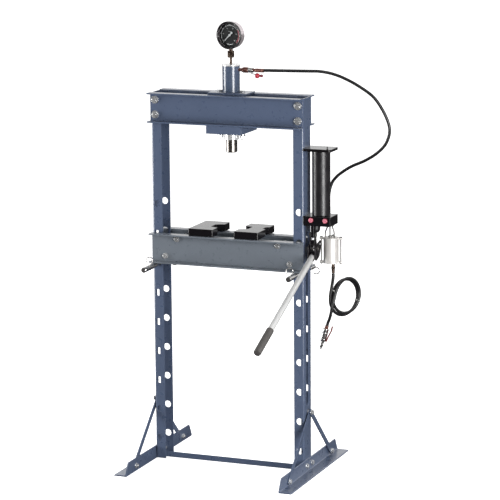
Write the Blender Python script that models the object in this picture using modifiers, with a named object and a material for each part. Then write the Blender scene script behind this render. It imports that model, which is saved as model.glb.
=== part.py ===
"""Floor-standing H-frame shop press with a hand and air driven hydraulic pump.

Metres, +Z up.  The front of the press looks along -Y.  The floor is z = 0.
"""
import math

import bmesh
import bpy
from mathutils import Euler, Matrix, Vector

# ---------------------------------------------------------------- dimensions
GAP = 0.0003                  # clearance between touching pieces
STEEL = 0.005                 # wall of every rolled section

POST_OUTER_X = 0.300          # outer face of the upright's web
POST_DEPTH = 0.078            # upright section, front to back
POST_FLANGE = 0.040           # upright section, web to flange tip
POST_BOTTOM = 0.004
POST_TOP = 1.396

CHANNEL_FLANGE = 0.040        # crown and bed channels, web to flange tip
CROWN_BOTTOM = 1.288
CROWN_TOP = 1.398

HOLE_X = 0.281                # column of height holes in the upright flanges
HOLE_RADIUS = 0.013
HOLE_TOP_Z = 0.980
HOLE_PITCH = 0.112
HOLE_COUNT = 9
PIN_LEVEL = 2                 # third hole from the top
SLOT_BOTTOM = 0.250           # long slot in each upright's web
SLOT_TOP = 0.905
SLOT_WIDTH = 0.030

PIN_RADIUS = 0.010
PIN_LENGTH = 0.265
PIN_Z = HOLE_TOP_Z - PIN_LEVEL * HOLE_PITCH - HOLE_RADIUS + PIN_RADIUS + GAP
LEFT_PIN_FRONT = -0.170
RIGHT_PIN_FRONT = -0.151
CLIP_WIRE = 0.0019
LEFT_CLIP_Y = -0.098
RIGHT_CLIP_Y = -0.118
REAR_CLIP_INSET = 0.010

BED_BOTTOM = PIN_Z + PIN_RADIUS + GAP
BED_HEIGHT = 0.110
BED_TOP = BED_BOTTOM + BED_HEIGHT
BED_INNER_Y = 0.040           # inner face of each bed channel's web

PLATE_THICKNESS = 0.027
PLATE_FRONT = -0.068
PLATE_BACK = 0.104

FOOT_HALF = 0.310             # half the length of a foot
FOOT_LEG = 0.050
FOOT_CHAMFER = 0.025
BRACE_TOP_Z = 0.226
BRACE_END_Y = 0.220
BRACE_END_Z = 0.020
BRACE_WIDTH = 0.020
BRACE_THICKNESS = 0.004
BRACE_LAP = 0.011             # bar beyond each bolt
FOOT_BOLT_Y = 0.027
FOOT_BOLT_Z = 0.026
FOOT_BOLT_RADIUS = 0.005

RAM_X = 0.005                 # the ram's axis, off the frame's middle
BARREL_RADIUS = 0.032
BARREL_BORE = 0.025
BARREL_TOP = 1.507
HEAD_PLATE_BOTTOM = 1.2585
ROD_RADIUS = 0.021
ROD_BOTTOM = 1.183
PISTON_TOP = 1.480
TIE_BOLT_X = 0.043
TIE_NUT_HEIGHT = 0.027        # long nut under the head plate

GAUGE_Z = 1.613
GAUGE_RADIUS = 0.051
GAUGE_YAW = math.radians(-8.0)
COUPLER_Z = 1.4875

PUMP_X = 0.354                # reservoir axis
BLOCK_BOTTOM = 0.934
BLOCK_TOP = 0.969
BLOCK_RIGHT = 0.403
PUMP_HALF_Y = 0.042
RESERVOIR_RADIUS = 0.0333
RESERVOIR_TOP = 1.206

LEVER_X = 0.334               # plane of the lever and the plunger
PIVOT = Vector((LEVER_X, -0.034, 0.850))
LINK_TOP_Z = 0.902
PLUNGER_Y = -0.005
PLUNGER_PIN_Z = 0.8629
HANDLE_TOP = Vector((LEVER_X, -0.042, 0.820))
HANDLE_DROP = math.radians(23.1)
HANDLE_AXIS = Vector((0.0, -math.cos(HANDLE_DROP), -math.sin(HANDLE_DROP)))
HANDLE_RADIUS = 0.011
GRIP_START = 0.462
GRIP_END = 0.600
GRIP_RADIUS = 0.0137

MOTOR_X = 0.388
MOTOR_Y = 0.010
MOTOR_RADIUS = 0.029
MOTOR_BOTTOM = 0.792
MOTOR_TOP = 0.888
LUG_ANGLES = (8.0, 98.0, 188.0)
LUG_REACH = 0.036
INLET = Vector((0.3955, 0.012, 0.756))

HYDRAULIC_HOSE_RADIUS = 0.0057
AIR_HOSE_RADIUS = 0.0057
COIL_CENTRE = Vector((0.419, 0.074, 0.6575))
COIL_YAW = math.radians(61.0)
COIL_RADIUS = 0.0663
COIL_BUNDLE = 0.0118
VALVE_TOP = Vector((0.3716, 0.012, 0.5565))
VALVE_LEAN = math.radians(16.4)

# bolt positions
CROWN_BOLT_LEVELS = (1.370, 1.315)
CROWN_BOLT_RADIUS = 0.007
CROWN_INNER_Y = POST_DEPTH / 2 + GAP
PUMP_BOLTS = ((-0.028, 0.9515), (0.028, 0.9515), (-0.028, 1.211), (0.028, 1.211))
PUMP_BOLT_RADIUS = 0.003
WEB_HOLES = {side: [(-FOOT_BOLT_Y, FOOT_BOLT_Z, FOOT_BOLT_RADIUS),
                    (FOOT_BOLT_Y, FOOT_BOLT_Z, FOOT_BOLT_RADIUS),
                    (0.0, BRACE_TOP_Z, FOOT_BOLT_RADIUS)] for side in (-1, 1)}
WEB_HOLES[1] += [(y, z, PUMP_BOLT_RADIUS) for y, z in PUMP_BOLTS]
FOOT_BOLTS = ((-FOOT_BOLT_Y, FOOT_BOLT_Z), (FOOT_BOLT_Y, FOOT_BOLT_Z),
              (-BRACE_END_Y, BRACE_END_Z), (BRACE_END_Y, BRACE_END_Z))
BED_BOLTS = ((0.200, 0.8525), (0.247, 0.787))
BED_BOLT_RADIUS = 0.006

# routes of the free hoses, point by point
HYDRAULIC_ROUTE = (
    (0.1345, 0.000, 1.4885), (0.190, 0.001, 1.4895), (0.245, 0.003, 1.4905),
    (0.300, 0.005, 1.4915), (0.350, 0.008, 1.4915), (0.400, 0.013, 1.4825),
    (0.448, 0.019, 1.4640), (0.499, 0.024, 1.4365), (0.543, 0.029, 1.4045),
    (0.574, 0.034, 1.3615), (0.594, 0.038, 1.3185), (0.600, 0.042, 1.2870),
    (0.594, 0.046, 1.2565), (0.577, 0.049, 1.2250), (0.543, 0.053, 1.1935),
    (0.499, 0.057, 1.1665), (0.452, 0.060, 1.1450), (0.414, 0.062, 1.1215),
    (0.387, 0.063, 1.0985), (0.371, 0.063, 1.0750), (0.362, 0.062, 1.0400),
    (0.360, 0.062, 0.9903),
)
AIR_LEAD_ROUTE = (
    (0.3955, 0.0120, 0.7524), (0.3955, 0.0120, 0.7420), (0.3930, 0.0124, 0.7230),
    (0.3899, 0.0123, 0.7050),
)
AIR_TAIL_ROUTE = (
    (0.3932, 0.0038, 0.6250), (0.3888, 0.0045, 0.6040), (0.3830, 0.0085, 0.5860),
    (0.3750, 0.0120, 0.5680), (0.3717, 0.0120, 0.5569),
)

COLLECTION = "arbor_press"
ON_A_HOSE = ("hydraulic_hose", "air_hose_lead", "air_hose_coil", "air_hose_tail", "air_valve_body",
             "air_valve_lever")

PAINT_BLUE = ("blue_grey_paint", (0.100, 0.125, 0.190, 1.0), 0.45, 0.0)
PAINT_GREY = ("slate_paint", (0.150, 0.175, 0.205, 1.0), 0.45, 0.0)
BLACK_STEEL = ("black_steel", (0.020, 0.020, 0.024, 1.0), 0.40, 0.3)
BRIGHT_STEEL = ("bright_steel", (0.560, 0.560, 0.550, 1.0), 0.25, 1.0)
ZINC = ("zinc_plate", (0.480, 0.470, 0.440, 1.0), 0.35, 1.0)
CHROME = ("hard_chrome", (0.600, 0.600, 0.600, 1.0), 0.12, 1.0)
BRASS = ("brass", (0.350, 0.260, 0.140, 1.0), 0.35, 1.0)
ALUMINIUM = ("cast_aluminium", (0.720, 0.700, 0.680, 1.0), 0.40, 0.8)
RUBBER = ("black_rubber", (0.025, 0.025, 0.026, 1.0), 0.75, 0.0)
GRIP_RUBBER = ("grip_rubber", (0.060, 0.055, 0.050, 1.0), 0.80, 0.0)
RED_PLASTIC = ("red_plastic", (0.450, 0.035, 0.050, 1.0), 0.45, 0.0)
DIAL_BLACK = ("dial_black", (0.010, 0.010, 0.011, 1.0), 0.60, 0.0)
NEEDLE_WHITE = ("needle_white", (0.850, 0.850, 0.850, 1.0), 0.50, 0.0)
COPPER = ("copper", (0.450, 0.180, 0.090, 1.0), 0.35, 1.0)


# ------------------------------------------------------------------- helpers
def clear_scene():
    for old in list(bpy.data.objects):
        bpy.data.objects.remove(old, do_unlink=True)


def make_collection(name):
    found = bpy.data.collections.new(name)
    bpy.context.scene.collection.children.link(found)
    return found


clear_scene()
PARTS = make_collection(COLLECTION)
CUTTERS = make_collection("cutters")
ROOT = bpy.data.objects.new("press_root", None)
PARTS.objects.link(ROOT)


def material(spec):
    name, colour, roughness, metallic = spec
    found = bpy.data.materials.get(name)
    if found is None:
        found = bpy.data.materials.new(name)
        found.use_nodes = True
        shader = found.node_tree.nodes["Principled BSDF"]
        shader.inputs["Base Color"].default_value = colour
        shader.inputs["Roughness"].default_value = roughness
        shader.inputs["Metallic"].default_value = metallic
        found.diffuse_color = colour
    return found


def add_part(name, mesh, spec, parent=ROOT):
    part = bpy.data.objects.new(name, mesh)
    part.data.materials.clear()
    part.data.materials.append(material(spec))
    PARTS.objects.link(part)
    part.parent = parent
    return part


def pivot_empty(name, location, rotation=(0.0, 0.0, 0.0), parent=ROOT):
    """An empty on a joint's axis, which the moving pieces hang from."""
    empty = bpy.data.objects.new(name, None)
    PARTS.objects.link(empty)
    empty.location = location
    empty.rotation_euler = rotation
    empty.parent = parent
    return empty


def mesh_from(bm, name, smooth=True):
    bmesh.ops.recalc_face_normals(bm, faces=bm.faces)
    mesh = bpy.data.meshes.new(name)
    bm.to_mesh(mesh)
    bm.free()
    if smooth:
        mesh.shade_smooth()
        mesh.set_sharp_from_angle(angle=math.radians(35.0))
    return mesh


def frame_along(start, end):
    """Matrix whose origin is start and whose Z axis points to end."""
    along = Vector(end) - Vector(start)
    return Matrix.Translation(Vector(start)) @ along.to_track_quat("Z", "Y").to_matrix().to_4x4()


def add_box(bm, low, high):
    low, high = Vector(low), Vector(high)
    place = Matrix.Translation((low + high) / 2) @ Matrix.Diagonal((*(high - low), 1.0))
    bmesh.ops.create_cube(bm, size=1.0, matrix=place)


def add_cylinder(bm, start, end, radius, sides=20):
    length = (Vector(end) - Vector(start)).length
    place = frame_along(start, end) @ Matrix.Translation((0.0, 0.0, length / 2))
    bmesh.ops.create_cone(bm, cap_ends=True, segments=sides, radius1=radius, radius2=radius,
                          depth=length, matrix=place)


def ring_points(kind, size, height, sides=12):
    """One section of a turned or hexagonal shape: round radius, or hexagon half width."""
    points = []
    for index in range(sides):
        angle = 2 * math.pi * index / sides
        if kind == "hex":
            inside = (angle + math.pi / 6) % (math.pi / 3) - math.pi / 6
            reach = size / math.cos(inside)
        else:
            reach = size
        points.append(Vector((reach * math.cos(angle), reach * math.sin(angle), height)))
    return points


def add_stack(bm, start, end, sections):
    """Loft through sections (kind, size, distance from start), closed at both ends."""
    place = frame_along(start, end)
    rings = []
    for kind, size, height in sections:
        rings.append([bm.verts.new(place @ point) for point in ring_points(kind, size, height)])
    for lower, upper in zip(rings, rings[1:]):
        for index in range(len(lower)):
            after = (index + 1) % len(lower)
            bm.faces.new((lower[index], lower[after], upper[after], upper[index]))
    bm.faces.new(list(reversed(rings[0])))
    bm.faces.new(rings[-1])


def add_bolt(bm, start, end, radius, head=0.006, nut=0.006):
    """A bolt whose head starts at start and whose nut ends at end."""
    length = (Vector(end) - Vector(start)).length
    width = radius * 1.6
    add_stack(bm, start, end, (
        ("hex", width, 0.0), ("hex", width, head),
        ("round", radius, head), ("round", radius, length - nut),
        ("hex", width, length - nut), ("hex", width, length),
    ))


def rounded_outline(corners, steps=4):
    """Corners are (x, y, radius); round ones become arcs of `steps` segments."""
    outline = []
    count = len(corners)
    for index, (x, y, radius) in enumerate(corners):
        here = Vector((x, y))
        if radius <= 0.0:
            outline.append(here)
            continue
        before = (Vector(corners[index - 1][:2]) - here).normalized()
        after = (Vector(corners[(index + 1) % count][:2]) - here).normalized()
        half = before.angle(after) / 2
        centre = here + (before + after).normalized() * (radius / math.sin(half))
        first = here + before * (radius / math.tan(half)) - centre
        last = here + after * (radius / math.tan(half)) - centre
        turn = first.angle_signed(last)
        for step in range(steps + 1):
            spin = Matrix.Rotation(-turn * step / steps, 2)
            outline.append(centre + spin @ first)
    return outline


def solid_from_curve(curve, place, name):
    """Turn a filled curve into one closed mesh with its transform applied."""
    guide = bpy.data.objects.new(name + "_guide", curve)
    bpy.context.scene.collection.objects.link(guide)
    bpy.context.view_layer.update()
    evaluated = guide.evaluated_get(bpy.context.evaluated_depsgraph_get())
    mesh = bpy.data.meshes.new_from_object(evaluated)
    bpy.data.objects.remove(guide, do_unlink=True)
    bm = bmesh.new()
    bm.from_mesh(mesh)
    bmesh.ops.remove_doubles(bm, verts=bm.verts, dist=0.00002)
    bmesh.ops.transform(bm, matrix=place, verts=bm.verts)
    return mesh_from(bm, name)


def outline_mesh(name, outline, thickness, place):
    """A flat outline in local XY, extruded from z = 0 to z = thickness."""
    curve = bpy.data.curves.new(name, "CURVE")
    curve.dimensions = "2D"
    curve.fill_mode = "BOTH"
    curve.extrude = thickness / 2
    spline = curve.splines.new("POLY")
    spline.points.add(len(outline) - 1)
    for point, (x, y) in zip(spline.points, outline):
        point.co = (x, y, 0.0, 1.0)
    spline.use_cyclic_u = True
    return solid_from_curve(curve, place @ Matrix.Translation((0.0, 0.0, thickness / 2)), name)


def smooth_points(route, spacing):
    """Evenly spaced points on a Catmull-Rom curve through the route."""
    knots = [Vector(point) for point in route]
    knots = [2 * knots[0] - knots[1]] + knots + [2 * knots[-1] - knots[-2]]
    dense = []
    for k in range(1, len(knots) - 2):
        a, b, c, d = knots[k - 1:k + 3]
        for step in range(20):
            t = step / 20
            dense.append(0.5 * (2 * b + (c - a) * t + (2 * a - 5 * b + 4 * c - d) * t ** 2
                                + (3 * b - a - 3 * c + d) * t ** 3))
    dense.append(knots[-2])
    total = sum((after - before).length for before, after in zip(dense, dense[1:]))
    count = max(3, round(total / spacing))
    picked, walked, target = [dense[0]], 0.0, total / count
    for before, after in zip(dense, dense[1:]):
        walked += (after - before).length
        if walked >= target * len(picked) and len(picked) < count:
            picked.append(after)
    picked.append(dense[-1])
    return picked


def tube_mesh(name, points, radius, resolution=2):
    """A round bar along the points, with closed ends."""
    curve = bpy.data.curves.new(name, "CURVE")
    curve.dimensions = "3D"
    curve.bevel_depth = radius
    curve.bevel_resolution = resolution
    curve.use_fill_caps = True
    spline = curve.splines.new("POLY")
    spline.points.add(len(points) - 1)
    for control, point in zip(spline.points, points):
        control.co = (*point, 1.0)
    return solid_from_curve(curve, Matrix.Identity(4), name)


def turned(name, profile, location, rotation, spec, parent=ROOT, steps=24):
    """A closed or axis-touching profile of (radius, height) turned about local Z."""
    bm = bmesh.new()
    ring = [bm.verts.new((radius, 0.0, height)) for radius, height in profile]
    for before, after in zip(ring, ring[1:]):
        bm.edges.new((before, after))
    if profile[0][0] > 0.0:
        bm.edges.new((ring[-1], ring[0]))
    mesh = bpy.data.meshes.new(name)
    bm.to_mesh(mesh)
    bm.free()
    part = add_part(name, mesh, spec, parent)
    part.location = location
    part.rotation_euler = rotation
    screw = part.modifiers.new("Turn", "SCREW")
    screw.axis = "Z"
    screw.angle = 2 * math.pi
    screw.steps = steps
    screw.render_steps = steps
    screw.use_merge_vertices = True
    screw.merge_threshold = 0.00005
    screw.use_smooth_shade = False
    return part


def cut(part, bm, name, operation="DIFFERENCE"):
    """Boolean the bodies in bm into the part."""
    tool = bpy.data.objects.new(name, mesh_from(bm, name, smooth=False))
    CUTTERS.objects.link(tool)
    tool.parent = ROOT
    tool.hide_render = True
    tool.display_type = "WIRE"
    boolean = part.modifiers.new(name, "BOOLEAN")
    boolean.operation = operation
    boolean.solver = "EXACT"
    boolean.use_self = operation == "UNION"
    boolean.object = tool
    return tool


# carries an outline drawn in local XY into the YZ plane, thickness along +X
AXIS_X = Matrix(((0, 0, 1, 0), (1, 0, 0, 0), (0, 1, 0, 0), (0, 0, 0, 1)))
ROTATE_TO_X = (0.0, math.pi / 2, 0.0)       # local +Z becomes +X
ROTATE_TO_FRONT = (math.pi / 2, 0.0, 0.0)   # local +Z becomes -Y


# --------------------------------------------------------------------- frame
def channel_outline(height, flange, wall=STEEL, outer=0.008, inner=0.003):
    """C section in local XY: web along X at y = 0, flanges towards +Y."""
    h = height / 2
    return rounded_outline((
        (-h, 0.0, outer), (h, 0.0, outer), (h, flange, 0.0), (h - wall, flange, 0.0),
        (h - wall, wall, inner), (-h + wall, wall, inner), (-h + wall, flange, 0.0),
        (-h, flange, 0.0),
    ))


def hole_levels():
    return [HOLE_TOP_Z - level * HOLE_PITCH for level in range(HOLE_COUNT)]


def build_upright(name, side):
    """U section, web outboard, flanges pointing inboard."""
    outline = [Vector((side * (POST_OUTER_X - y), x))
               for x, y in channel_outline(POST_DEPTH, POST_FLANGE)]
    place = Matrix.Translation((0.0, 0.0, POST_BOTTOM))
    mesh = outline_mesh(name, outline, POST_TOP - POST_BOTTOM, place)
    post = add_part(name, mesh, PAINT_BLUE)
    bm = bmesh.new()
    reach = POST_DEPTH
    for level in hole_levels():
        add_cylinder(bm, (side * HOLE_X, -reach, level), (side * HOLE_X, reach, level),
                     HOLE_RADIUS, 14)
    for level in CROWN_BOLT_LEVELS:
        add_cylinder(bm, (side * HOLE_X, -reach, level), (side * HOLE_X, reach, level),
                     CROWN_BOLT_RADIUS + 0.0006, 12)
    for y, z, radius in WEB_HOLES[side]:
        add_cylinder(bm, (side * 0.28, y, z), (side * 0.32, y, z), radius + 0.0006, 12)
    cut(post, bm, name + "_holes")
    slot = rounded_outline([(y, z, SLOT_WIDTH * 0.49) for y, z in (
        (-SLOT_WIDTH / 2, SLOT_BOTTOM), (SLOT_WIDTH / 2, SLOT_BOTTOM),
        (SLOT_WIDTH / 2, SLOT_TOP), (-SLOT_WIDTH / 2, SLOT_TOP))], 6)
    start = 0.29 if side > 0 else -0.31
    place = Matrix.Translation((start, 0.0, 0.0)) @ AXIS_X
    mesh = outline_mesh(name + "_slot", slot, 0.020, place)
    bm = bmesh.new()
    bm.from_mesh(mesh)
    cut(post, bm, name + "_slot")


def build_crosswise_channel(name, front, inner_y, bottom, height, spec, holes, parent=ROOT):
    """A C section along X.  front is -1 for the front channel and +1 for the back one."""
    outline = channel_outline(height, CHANNEL_FLANGE)
    points = [Vector((front * (inner_y + y), bottom + height / 2 + x)) for x, y in outline]
    place = Matrix.Translation((-POST_OUTER_X, 0.0, 0.0)) @ AXIS_X
    channel = add_part(name, outline_mesh(name, points, 2 * POST_OUTER_X, place), spec, parent)
    bm = bmesh.new()
    for x, z, radius in holes:
        add_cylinder(bm, (x, front * (inner_y - 0.01), z), (x, front * (inner_y + 0.02), z),
                     radius + 0.0006, 12)
    cut(channel, bm, name + "_holes")
    return channel


def build_crown():
    height = CROWN_TOP - CROWN_BOTTOM
    holes = [(side * HOLE_X, level, CROWN_BOLT_RADIUS)
             for side in (-1, 1) for level in CROWN_BOLT_LEVELS]
    for name, front in (("crown_channel_front", -1), ("crown_channel_back", 1)):
        build_crosswise_channel(name, front, CROWN_INNER_Y, CROWN_BOTTOM, height, PAINT_BLUE, holes)


def build_foot(name, side):
    """Angle along Y: upright leg against the web, flat leg outboard on the floor."""
    inner = POST_OUTER_X + GAP
    corners = ((inner, 0.0, 0.0), (inner + FOOT_LEG, 0.0, 0.0), (inner + FOOT_LEG, STEEL, 0.002),
               (inner + STEEL, STEEL, 0.003), (inner + STEEL, FOOT_LEG, 0.002),
               (inner, FOOT_LEG, 0.0))
    outline = [Vector((side * point.x, point.y)) for point in rounded_outline(corners, 3)]
    along_y = Matrix(((1, 0, 0, 0), (0, 0, 1, -FOOT_HALF), (0, 1, 0, 0), (0, 0, 0, 1)))
    foot = add_part(name, outline_mesh(name, outline, 2 * FOOT_HALF, along_y), PAINT_BLUE)
    for end in (-1, 1):
        wedge = [Vector((end * (FOOT_HALF - FOOT_CHAMFER), FOOT_LEG + 0.002)),
                 Vector((end * (FOOT_HALF + 0.01), FOOT_LEG + 0.002)),
                 Vector((end * (FOOT_HALF + 0.01), STEEL + 0.001)),
                 Vector((end * FOOT_HALF, STEEL + 0.001))]
        start = inner - 0.01 if side > 0 else -inner - 0.02
        place = Matrix.Translation((start, 0.0, 0.0)) @ AXIS_X
        bm = bmesh.new()
        bm.from_mesh(outline_mesh(name + "_end", wedge, 0.03, place))
        cut(foot, bm, name + ("_front_end" if end < 0 else "_back_end"))
    bm = bmesh.new()
    for y, z in FOOT_BOLTS:
        add_cylinder(bm, (side * 0.29, y, z), (side * 0.32, y, z), FOOT_BOLT_RADIUS + 0.0006, 16)
    cut(foot, bm, name + "_holes")


def brace_x(layer):
    """Inner face of a brace: the second one at the shared bolt lies over the first."""
    return POST_OUTER_X + STEEL + 2 * GAP + layer * (BRACE_THICKNESS + GAP)


def build_brace(name, side, end):
    """Flat bar from the shared bolt on the web down to one end of the foot."""
    top, low = Vector((0.0, BRACE_TOP_Z)), Vector((end * BRACE_END_Y, BRACE_END_Z))
    along = (low - top).normalized()
    across = Vector((-along.y, along.x)) * BRACE_WIDTH / 2
    start, finish = top - along * BRACE_LAP, low + along * BRACE_LAP
    corners = [(*(start + across), 0.006), (*(finish + across), 0.006),
               (*(finish - across), 0.006), (*(start - across), 0.006)]
    x = brace_x(0 if end < 0 else 1)
    place = Matrix.Translation((x if side > 0 else -x - BRACE_THICKNESS, 0.0, 0.0)) @ AXIS_X
    mesh = outline_mesh(name, rounded_outline(corners, 2), BRACE_THICKNESS, place)
    brace = add_part(name, mesh, PAINT_BLUE)
    bm = bmesh.new()
    for y, z in (top, low):
        add_cylinder(bm, (side * 0.30, y, z), (side * 0.33, y, z), FOOT_BOLT_RADIUS + 0.0006, 16)
    cut(brace, bm, name + "_holes")


def build_tie_bar():
    """Small angle between the webs, just behind the front flanges."""
    reach = POST_OUTER_X - STEEL - GAP
    front = -POST_DEPTH / 2 + STEEL + GAP
    corners = ((front, 0.010, 0.0), (front + 0.020, 0.010, 0.0), (front + 0.020, 0.013, 0.0),
               (front + 0.003, 0.013, 0.0), (front + 0.003, 0.031, 0.0), (front, 0.031, 0.0))
    outline = rounded_outline(corners)
    place = Matrix.Translation((-reach, 0.0, 0.0)) @ AXIS_X
    mesh = outline_mesh("base_tie_bar", outline, 2 * reach, place)
    bar = add_part("base_tie_bar", mesh, PAINT_BLUE)
    bm = bmesh.new()
    for side in (-1, 1):
        add_box(bm, (side * 0.296 - 0.016, -FOOT_BOLT_Y - 0.0105, 0.0),
                (side * 0.296 + 0.016, -FOOT_BOLT_Y + 0.0105, 0.05))
    cut(bar, bm, "base_tie_bar_relief")


# ----------------------------------------------------------------------- bed
def build_bed():
    holes = [(side * x, z, BED_BOLT_RADIUS) for side in (-1, 1) for x, z in BED_BOLTS]
    for name, front in (("bed_channel_front", -1), ("bed_channel_back", 1)):
        build_crosswise_channel(name, front, BED_INNER_Y, BED_BOTTOM, BED_HEIGHT, PAINT_GREY, holes)
    for side, side_name in ((-1, "left"), (1, "right")):
        for (x, z), level in zip(BED_BOLTS, ("upper", "lower")):
            build_bed_spacer("bed_spacer_" + side_name + "_" + level, side * x, z)


def build_bed_spacer(name, x, z):
    """Shouldered rod between the two channels, with a nut outside each."""
    nut = 0.007
    reach = BED_INNER_Y + STEEL + GAP + nut
    shoulder = BED_INNER_Y - GAP
    bm = bmesh.new()
    add_stack(bm, (x, -reach, z), (x, reach, z), (
        ("hex", 0.0085, 0.0), ("hex", 0.0085, nut),
        ("round", BED_BOLT_RADIUS, nut), ("round", BED_BOLT_RADIUS, reach - shoulder),
        ("round", 0.008, reach - shoulder), ("round", 0.008, reach + shoulder),
        ("round", BED_BOLT_RADIUS, reach + shoulder), ("round", BED_BOLT_RADIUS, 2 * reach - nut),
        ("hex", 0.0085, 2 * reach - nut), ("hex", 0.0085, 2 * reach),
    ))
    add_part(name, mesh_from(bm, name), ZINC)


def build_pin(name, side, front, clip_y):
    """Round bar under the bed, cross drilled for a ring clip at each end."""
    bm = bmesh.new()
    x = side * HOLE_X
    add_cylinder(bm, (x, front, PIN_Z), (x, front + PIN_LENGTH, PIN_Z), PIN_RADIUS, 24)
    pin = add_part(name, mesh_from(bm, name), BRIGHT_STEEL)
    bm = bmesh.new()
    for y in (clip_y, front + PIN_LENGTH - REAR_CLIP_INSET):
        add_cylinder(bm, (x, y, PIN_Z - 0.02), (x, y, PIN_Z + 0.02), CLIP_WIRE + 0.0006, 12)
    cut(pin, bm, name + "_cross_holes")


def clip_points(x, y, ring_radius=0.0125):
    """Straight stem up through the pin, then a loop lying back over the pin's front end."""
    top = PIN_Z + PIN_RADIUS + 0.004
    points = [Vector((x, y, PIN_Z - 0.014)), Vector((x, y, PIN_Z)), Vector((x, y, top))]
    centre = Vector((x, y - 0.004, top + ring_radius))
    for step in range(1, 13):
        angle = math.radians(-90 + step * 26)
        points.append(centre + Vector((ring_radius * math.cos(angle), -0.006 * step / 12,
                                       ring_radius * math.sin(angle))))
    return points


def build_clips():
    for name, side, y in (("pin_clip_left", -1, LEFT_CLIP_Y), ("pin_clip_right", 1, RIGHT_CLIP_Y)):
        add_part(name, tube_mesh(name, clip_points(side * HOLE_X, y), CLIP_WIRE), BRIGHT_STEEL)


def build_press_plates():
    """Two loose steel blocks across the bed, each with a work notch facing the other."""
    bottom = BED_TOP + GAP
    place = Matrix.Translation((0.0, 0.0, bottom))
    front, back = PLATE_FRONT, PLATE_BACK
    left = ((-0.144, front, 0.003), (-0.047, front, 0.003), (-0.047, -0.018, 0.003),
            (-0.079, -0.004, 0.004), (-0.079, 0.040, 0.004), (-0.047, 0.052, 0.003),
            (-0.047, back, 0.003), (-0.144, back, 0.003))
    right = ((0.037, front, 0.003), (0.132, front, 0.003), (0.132, 0.010, 0.003),
             (0.118, 0.016, 0.003), (0.118, 0.046, 0.003), (0.132, 0.052, 0.003),
             (0.132, back, 0.003), (0.037, back, 0.003), (0.037, 0.052, 0.003),
             (0.069, 0.040, 0.004), (0.069, -0.004, 0.004), (0.037, -0.018, 0.003))
    for name, corners in (("press_plate_left", left), ("press_plate_right", right)):
        outline = rounded_outline(corners, 2)
        add_part(name, outline_mesh(name, outline, PLATE_THICKNESS, place), BLACK_STEEL)


# ------------------------------------------------------------------ cylinder
def build_cylinder():
    port = bmesh.new()
    add_cylinder(port, (RAM_X + 0.020, 0.0, COUPLER_Z), (RAM_X + 0.040, 0.0, COUPLER_Z), 0.0066, 16)
    add_cylinder(port, (RAM_X, 0.0, BARREL_TOP - 0.016), (RAM_X, 0.0, BARREL_TOP + 0.01), 0.0052, 16)
    bottom = HEAD_PLATE_BOTTOM + GAP
    barrel = turned("cylinder_barrel", (
        (0.0, BARREL_TOP), (BARREL_RADIUS - 0.001, BARREL_TOP), (BARREL_RADIUS + 0.001, BARREL_TOP - 0.002),
        (BARREL_RADIUS + 0.001, BARREL_TOP - 0.006), (BARREL_RADIUS, BARREL_TOP - 0.007),
        (BARREL_RADIUS, bottom), (BARREL_BORE, bottom), (BARREL_BORE, BARREL_TOP - 0.012),
        (0.0, BARREL_TOP - 0.012),
    ), (RAM_X, 0.0, 0.0), (0.0, 0.0, 0.0), PAINT_BLUE, steps=32)
    cut(barrel, port, "barrel_ports")
    gland_top = 1.285
    turned("cylinder_gland", (
        (BARREL_BORE - GAP, gland_top), (BARREL_BORE - GAP, HEAD_PLATE_BOTTOM),
        (0.0265, HEAD_PLATE_BOTTOM - GAP), (0.0265, 1.2315), (0.0250, 1.230),
        (ROD_RADIUS + 0.0004, 1.230), (ROD_RADIUS + 0.0004, gland_top),
    ), (RAM_X, 0.0, 0.0), (0.0, 0.0, 0.0), CHROME, steps=32)
    turned("ram_piston_rod", (
        (0.0, ROD_BOTTOM + 0.030), (0.013, ROD_BOTTOM + 0.030), (0.013, PISTON_TOP),
        (BARREL_BORE - 0.0004, PISTON_TOP), (BARREL_BORE - 0.0004, PISTON_TOP - 0.028),
        (ROD_RADIUS, PISTON_TOP - 0.028), (ROD_RADIUS, ROD_BOTTOM + 0.003),
        (ROD_RADIUS - 0.003, ROD_BOTTOM), (0.0, ROD_BOTTOM),
    ), (RAM_X, 0.0, 0.0), (0.0, 0.0, 0.0), CHROME, steps=32)


def build_return_spring():
    """Extension spring between the barrel's top and the bottom of the hollow rod."""
    low, high, turns, per_turn = ROD_BOTTOM + 0.0335, BARREL_TOP - 0.0155, 10, 7
    points = []
    for step in range(turns * per_turn + 1):
        angle = 2 * math.pi * step / per_turn
        z = low + (high - low) * step / (turns * per_turn)
        points.append(Vector((RAM_X + 0.009 * math.cos(angle), 0.009 * math.sin(angle), z)))
    mesh = tube_mesh("ram_return_spring", points, 0.0016, 1)
    add_part("ram_return_spring", mesh, BRIGHT_STEEL)


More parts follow.
